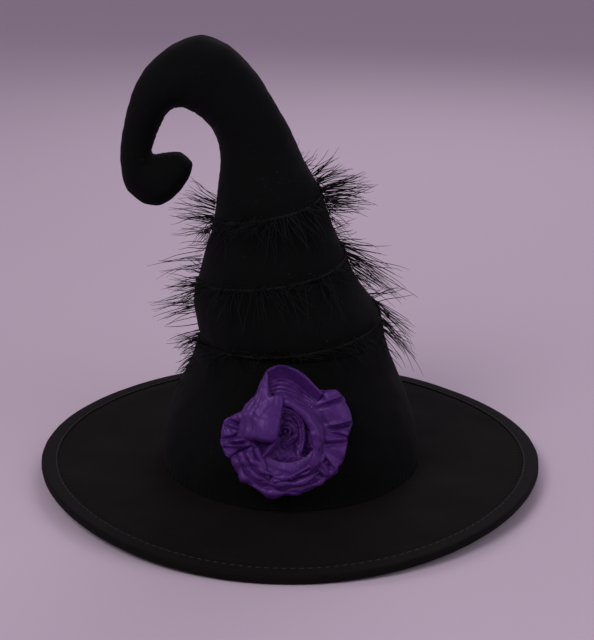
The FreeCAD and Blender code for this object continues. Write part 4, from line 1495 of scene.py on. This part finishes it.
def rosette_tacks():
    """Short threads that hold the ribbon's foot on the felt disc."""
    cloth = Cloth()
    share = np.linspace(-1, 1, 9)
    for i in range(4):
        angle = TURN * i / 4
        along = share * 2.0
        local = np.stack([
            7.1 * math.cos(angle) - along * math.sin(angle),
            7.1 * math.sin(angle) + along * math.cos(angle),
            1.3 + 0.55 * (1 - share ** 4),
        ], 1)
        cloth.tube(on_rosette(local), 0.25 * MM, 7)
    cloth.finish("rosette_tacks", sewing_thread, "thread", "rosette_tack_stitches")


def build_rosette():
    rosette_backing()
    rosette_tacks()
    outer_ruffle()
    petal_bottom()
    petal_top()
    petal_upper_left()
    petal_right()
    petal_lower_left()
    petal_inner_top()
    petal_inner_bottom()
    bud()


# ---------------------------------------------------------------- carried-over CAD nodes

def finish_cad_nodes():
    """The shaping wire in the curl keeps its CAD mesh and gets its material."""
    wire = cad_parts["curl_wire"]
    wire.data.materials.clear()
    wire.data.materials.append(steel_wire)


# ---------------------------------------------------------------- floor, light and camera

def build_floor():
    mesh = bpy.data.meshes.new("floor")
    size = 20.0
    corners = [(-size, -size, 0), (size, -size, 0), (size, size, 0), (-size, size, 0)]
    mesh.from_pydata(corners, [], [(0, 1, 2, 3)])
    floor = bpy.data.objects.new("floor", mesh)
    bpy.context.scene.collection.objects.link(floor)
    mesh.materials.append(floor_look("floor_paint", (0.52, 0.43, 0.51)))


def area_light(name, power, size, location, target, colour):
    data = bpy.data.lights.new(name, "AREA")
    data.energy = power
    data.shape = "DISK"
    data.size = size
    data.color = colour
    light = bpy.data.objects.new(name, data)
    bpy.context.scene.collection.objects.link(light)
    light.location = location
    aim = np.array(target) - np.array(location)
    back = -unit(aim)
    right = unit(np.cross((0, 0, 1), back))
    up = np.cross(back, right)
    light.matrix_world = Matrix([
        (right[0], up[0], back[0], location[0]),
        (right[1], up[1], back[1], location[1]),
        (right[2], up[2], back[2], location[2]),
        (0, 0, 0, 1),
    ])


def build_light():
    world = bpy.data.worlds.new("studio")
    world.use_nodes = True
    background = world.node_tree.nodes["Background"]
    background.inputs["Color"].default_value = (0.44, 0.38, 0.47, 1)
    background.inputs["Strength"].default_value = 0.8
    bpy.context.scene.world = world
    area_light("key", 14, 0.9, (-0.9, -1.0, 1.5), (0, 0, 0.12), (1.0, 0.97, 0.98))
    area_light("fill", 5, 1.2, (1.2, -0.8, 0.9), (0, 0, 0.12), (0.95, 0.95, 1.0))
    area_light("rim", 8, 1.0, (0.3, 1.4, 1.3), (0, 0, 0.2), (1.0, 0.97, 1.0))


def build_camera():
    """Front view from above, turned by yaw, pitch and roll as a hand-held camera is."""
    yaw = math.radians(0.486)
    pitch = math.radians(19.49)
    roll = math.radians(0.499)
    location = np.array([-0.0041, -1.0036, 0.4763])
    forward = np.array([math.sin(yaw) * math.cos(pitch), math.cos(yaw) * math.cos(pitch), -math.sin(pitch)])
    right = np.array([math.cos(yaw), -math.sin(yaw), 0])
    up = np.cross(right, forward)
    turned_right = math.cos(roll) * right + math.sin(roll) * up
    turned_up = -math.sin(roll) * right + math.cos(roll) * up
    data = bpy.data.cameras.new("camera")
    data.lens = 75.89
    data.sensor_width = 36
    data.clip_start = 0.05
    camera = bpy.data.objects.new("camera", data)
    bpy.context.scene.collection.objects.link(camera)
    columns = zip(turned_right, turned_up, -forward, location)
    camera.matrix_world = Matrix([tuple(row) for row in columns] + [(0, 0, 0, 1)])
    bpy.context.scene.camera = camera


bpy.context.scene.view_settings.view_transform = "Standard"
build_camera()
build_light()
build_floor()
build_brim()
build_head_opening()
build_base()
build_crown()
build_feather_trim()
build_rosette()
finish_cad_nodes()
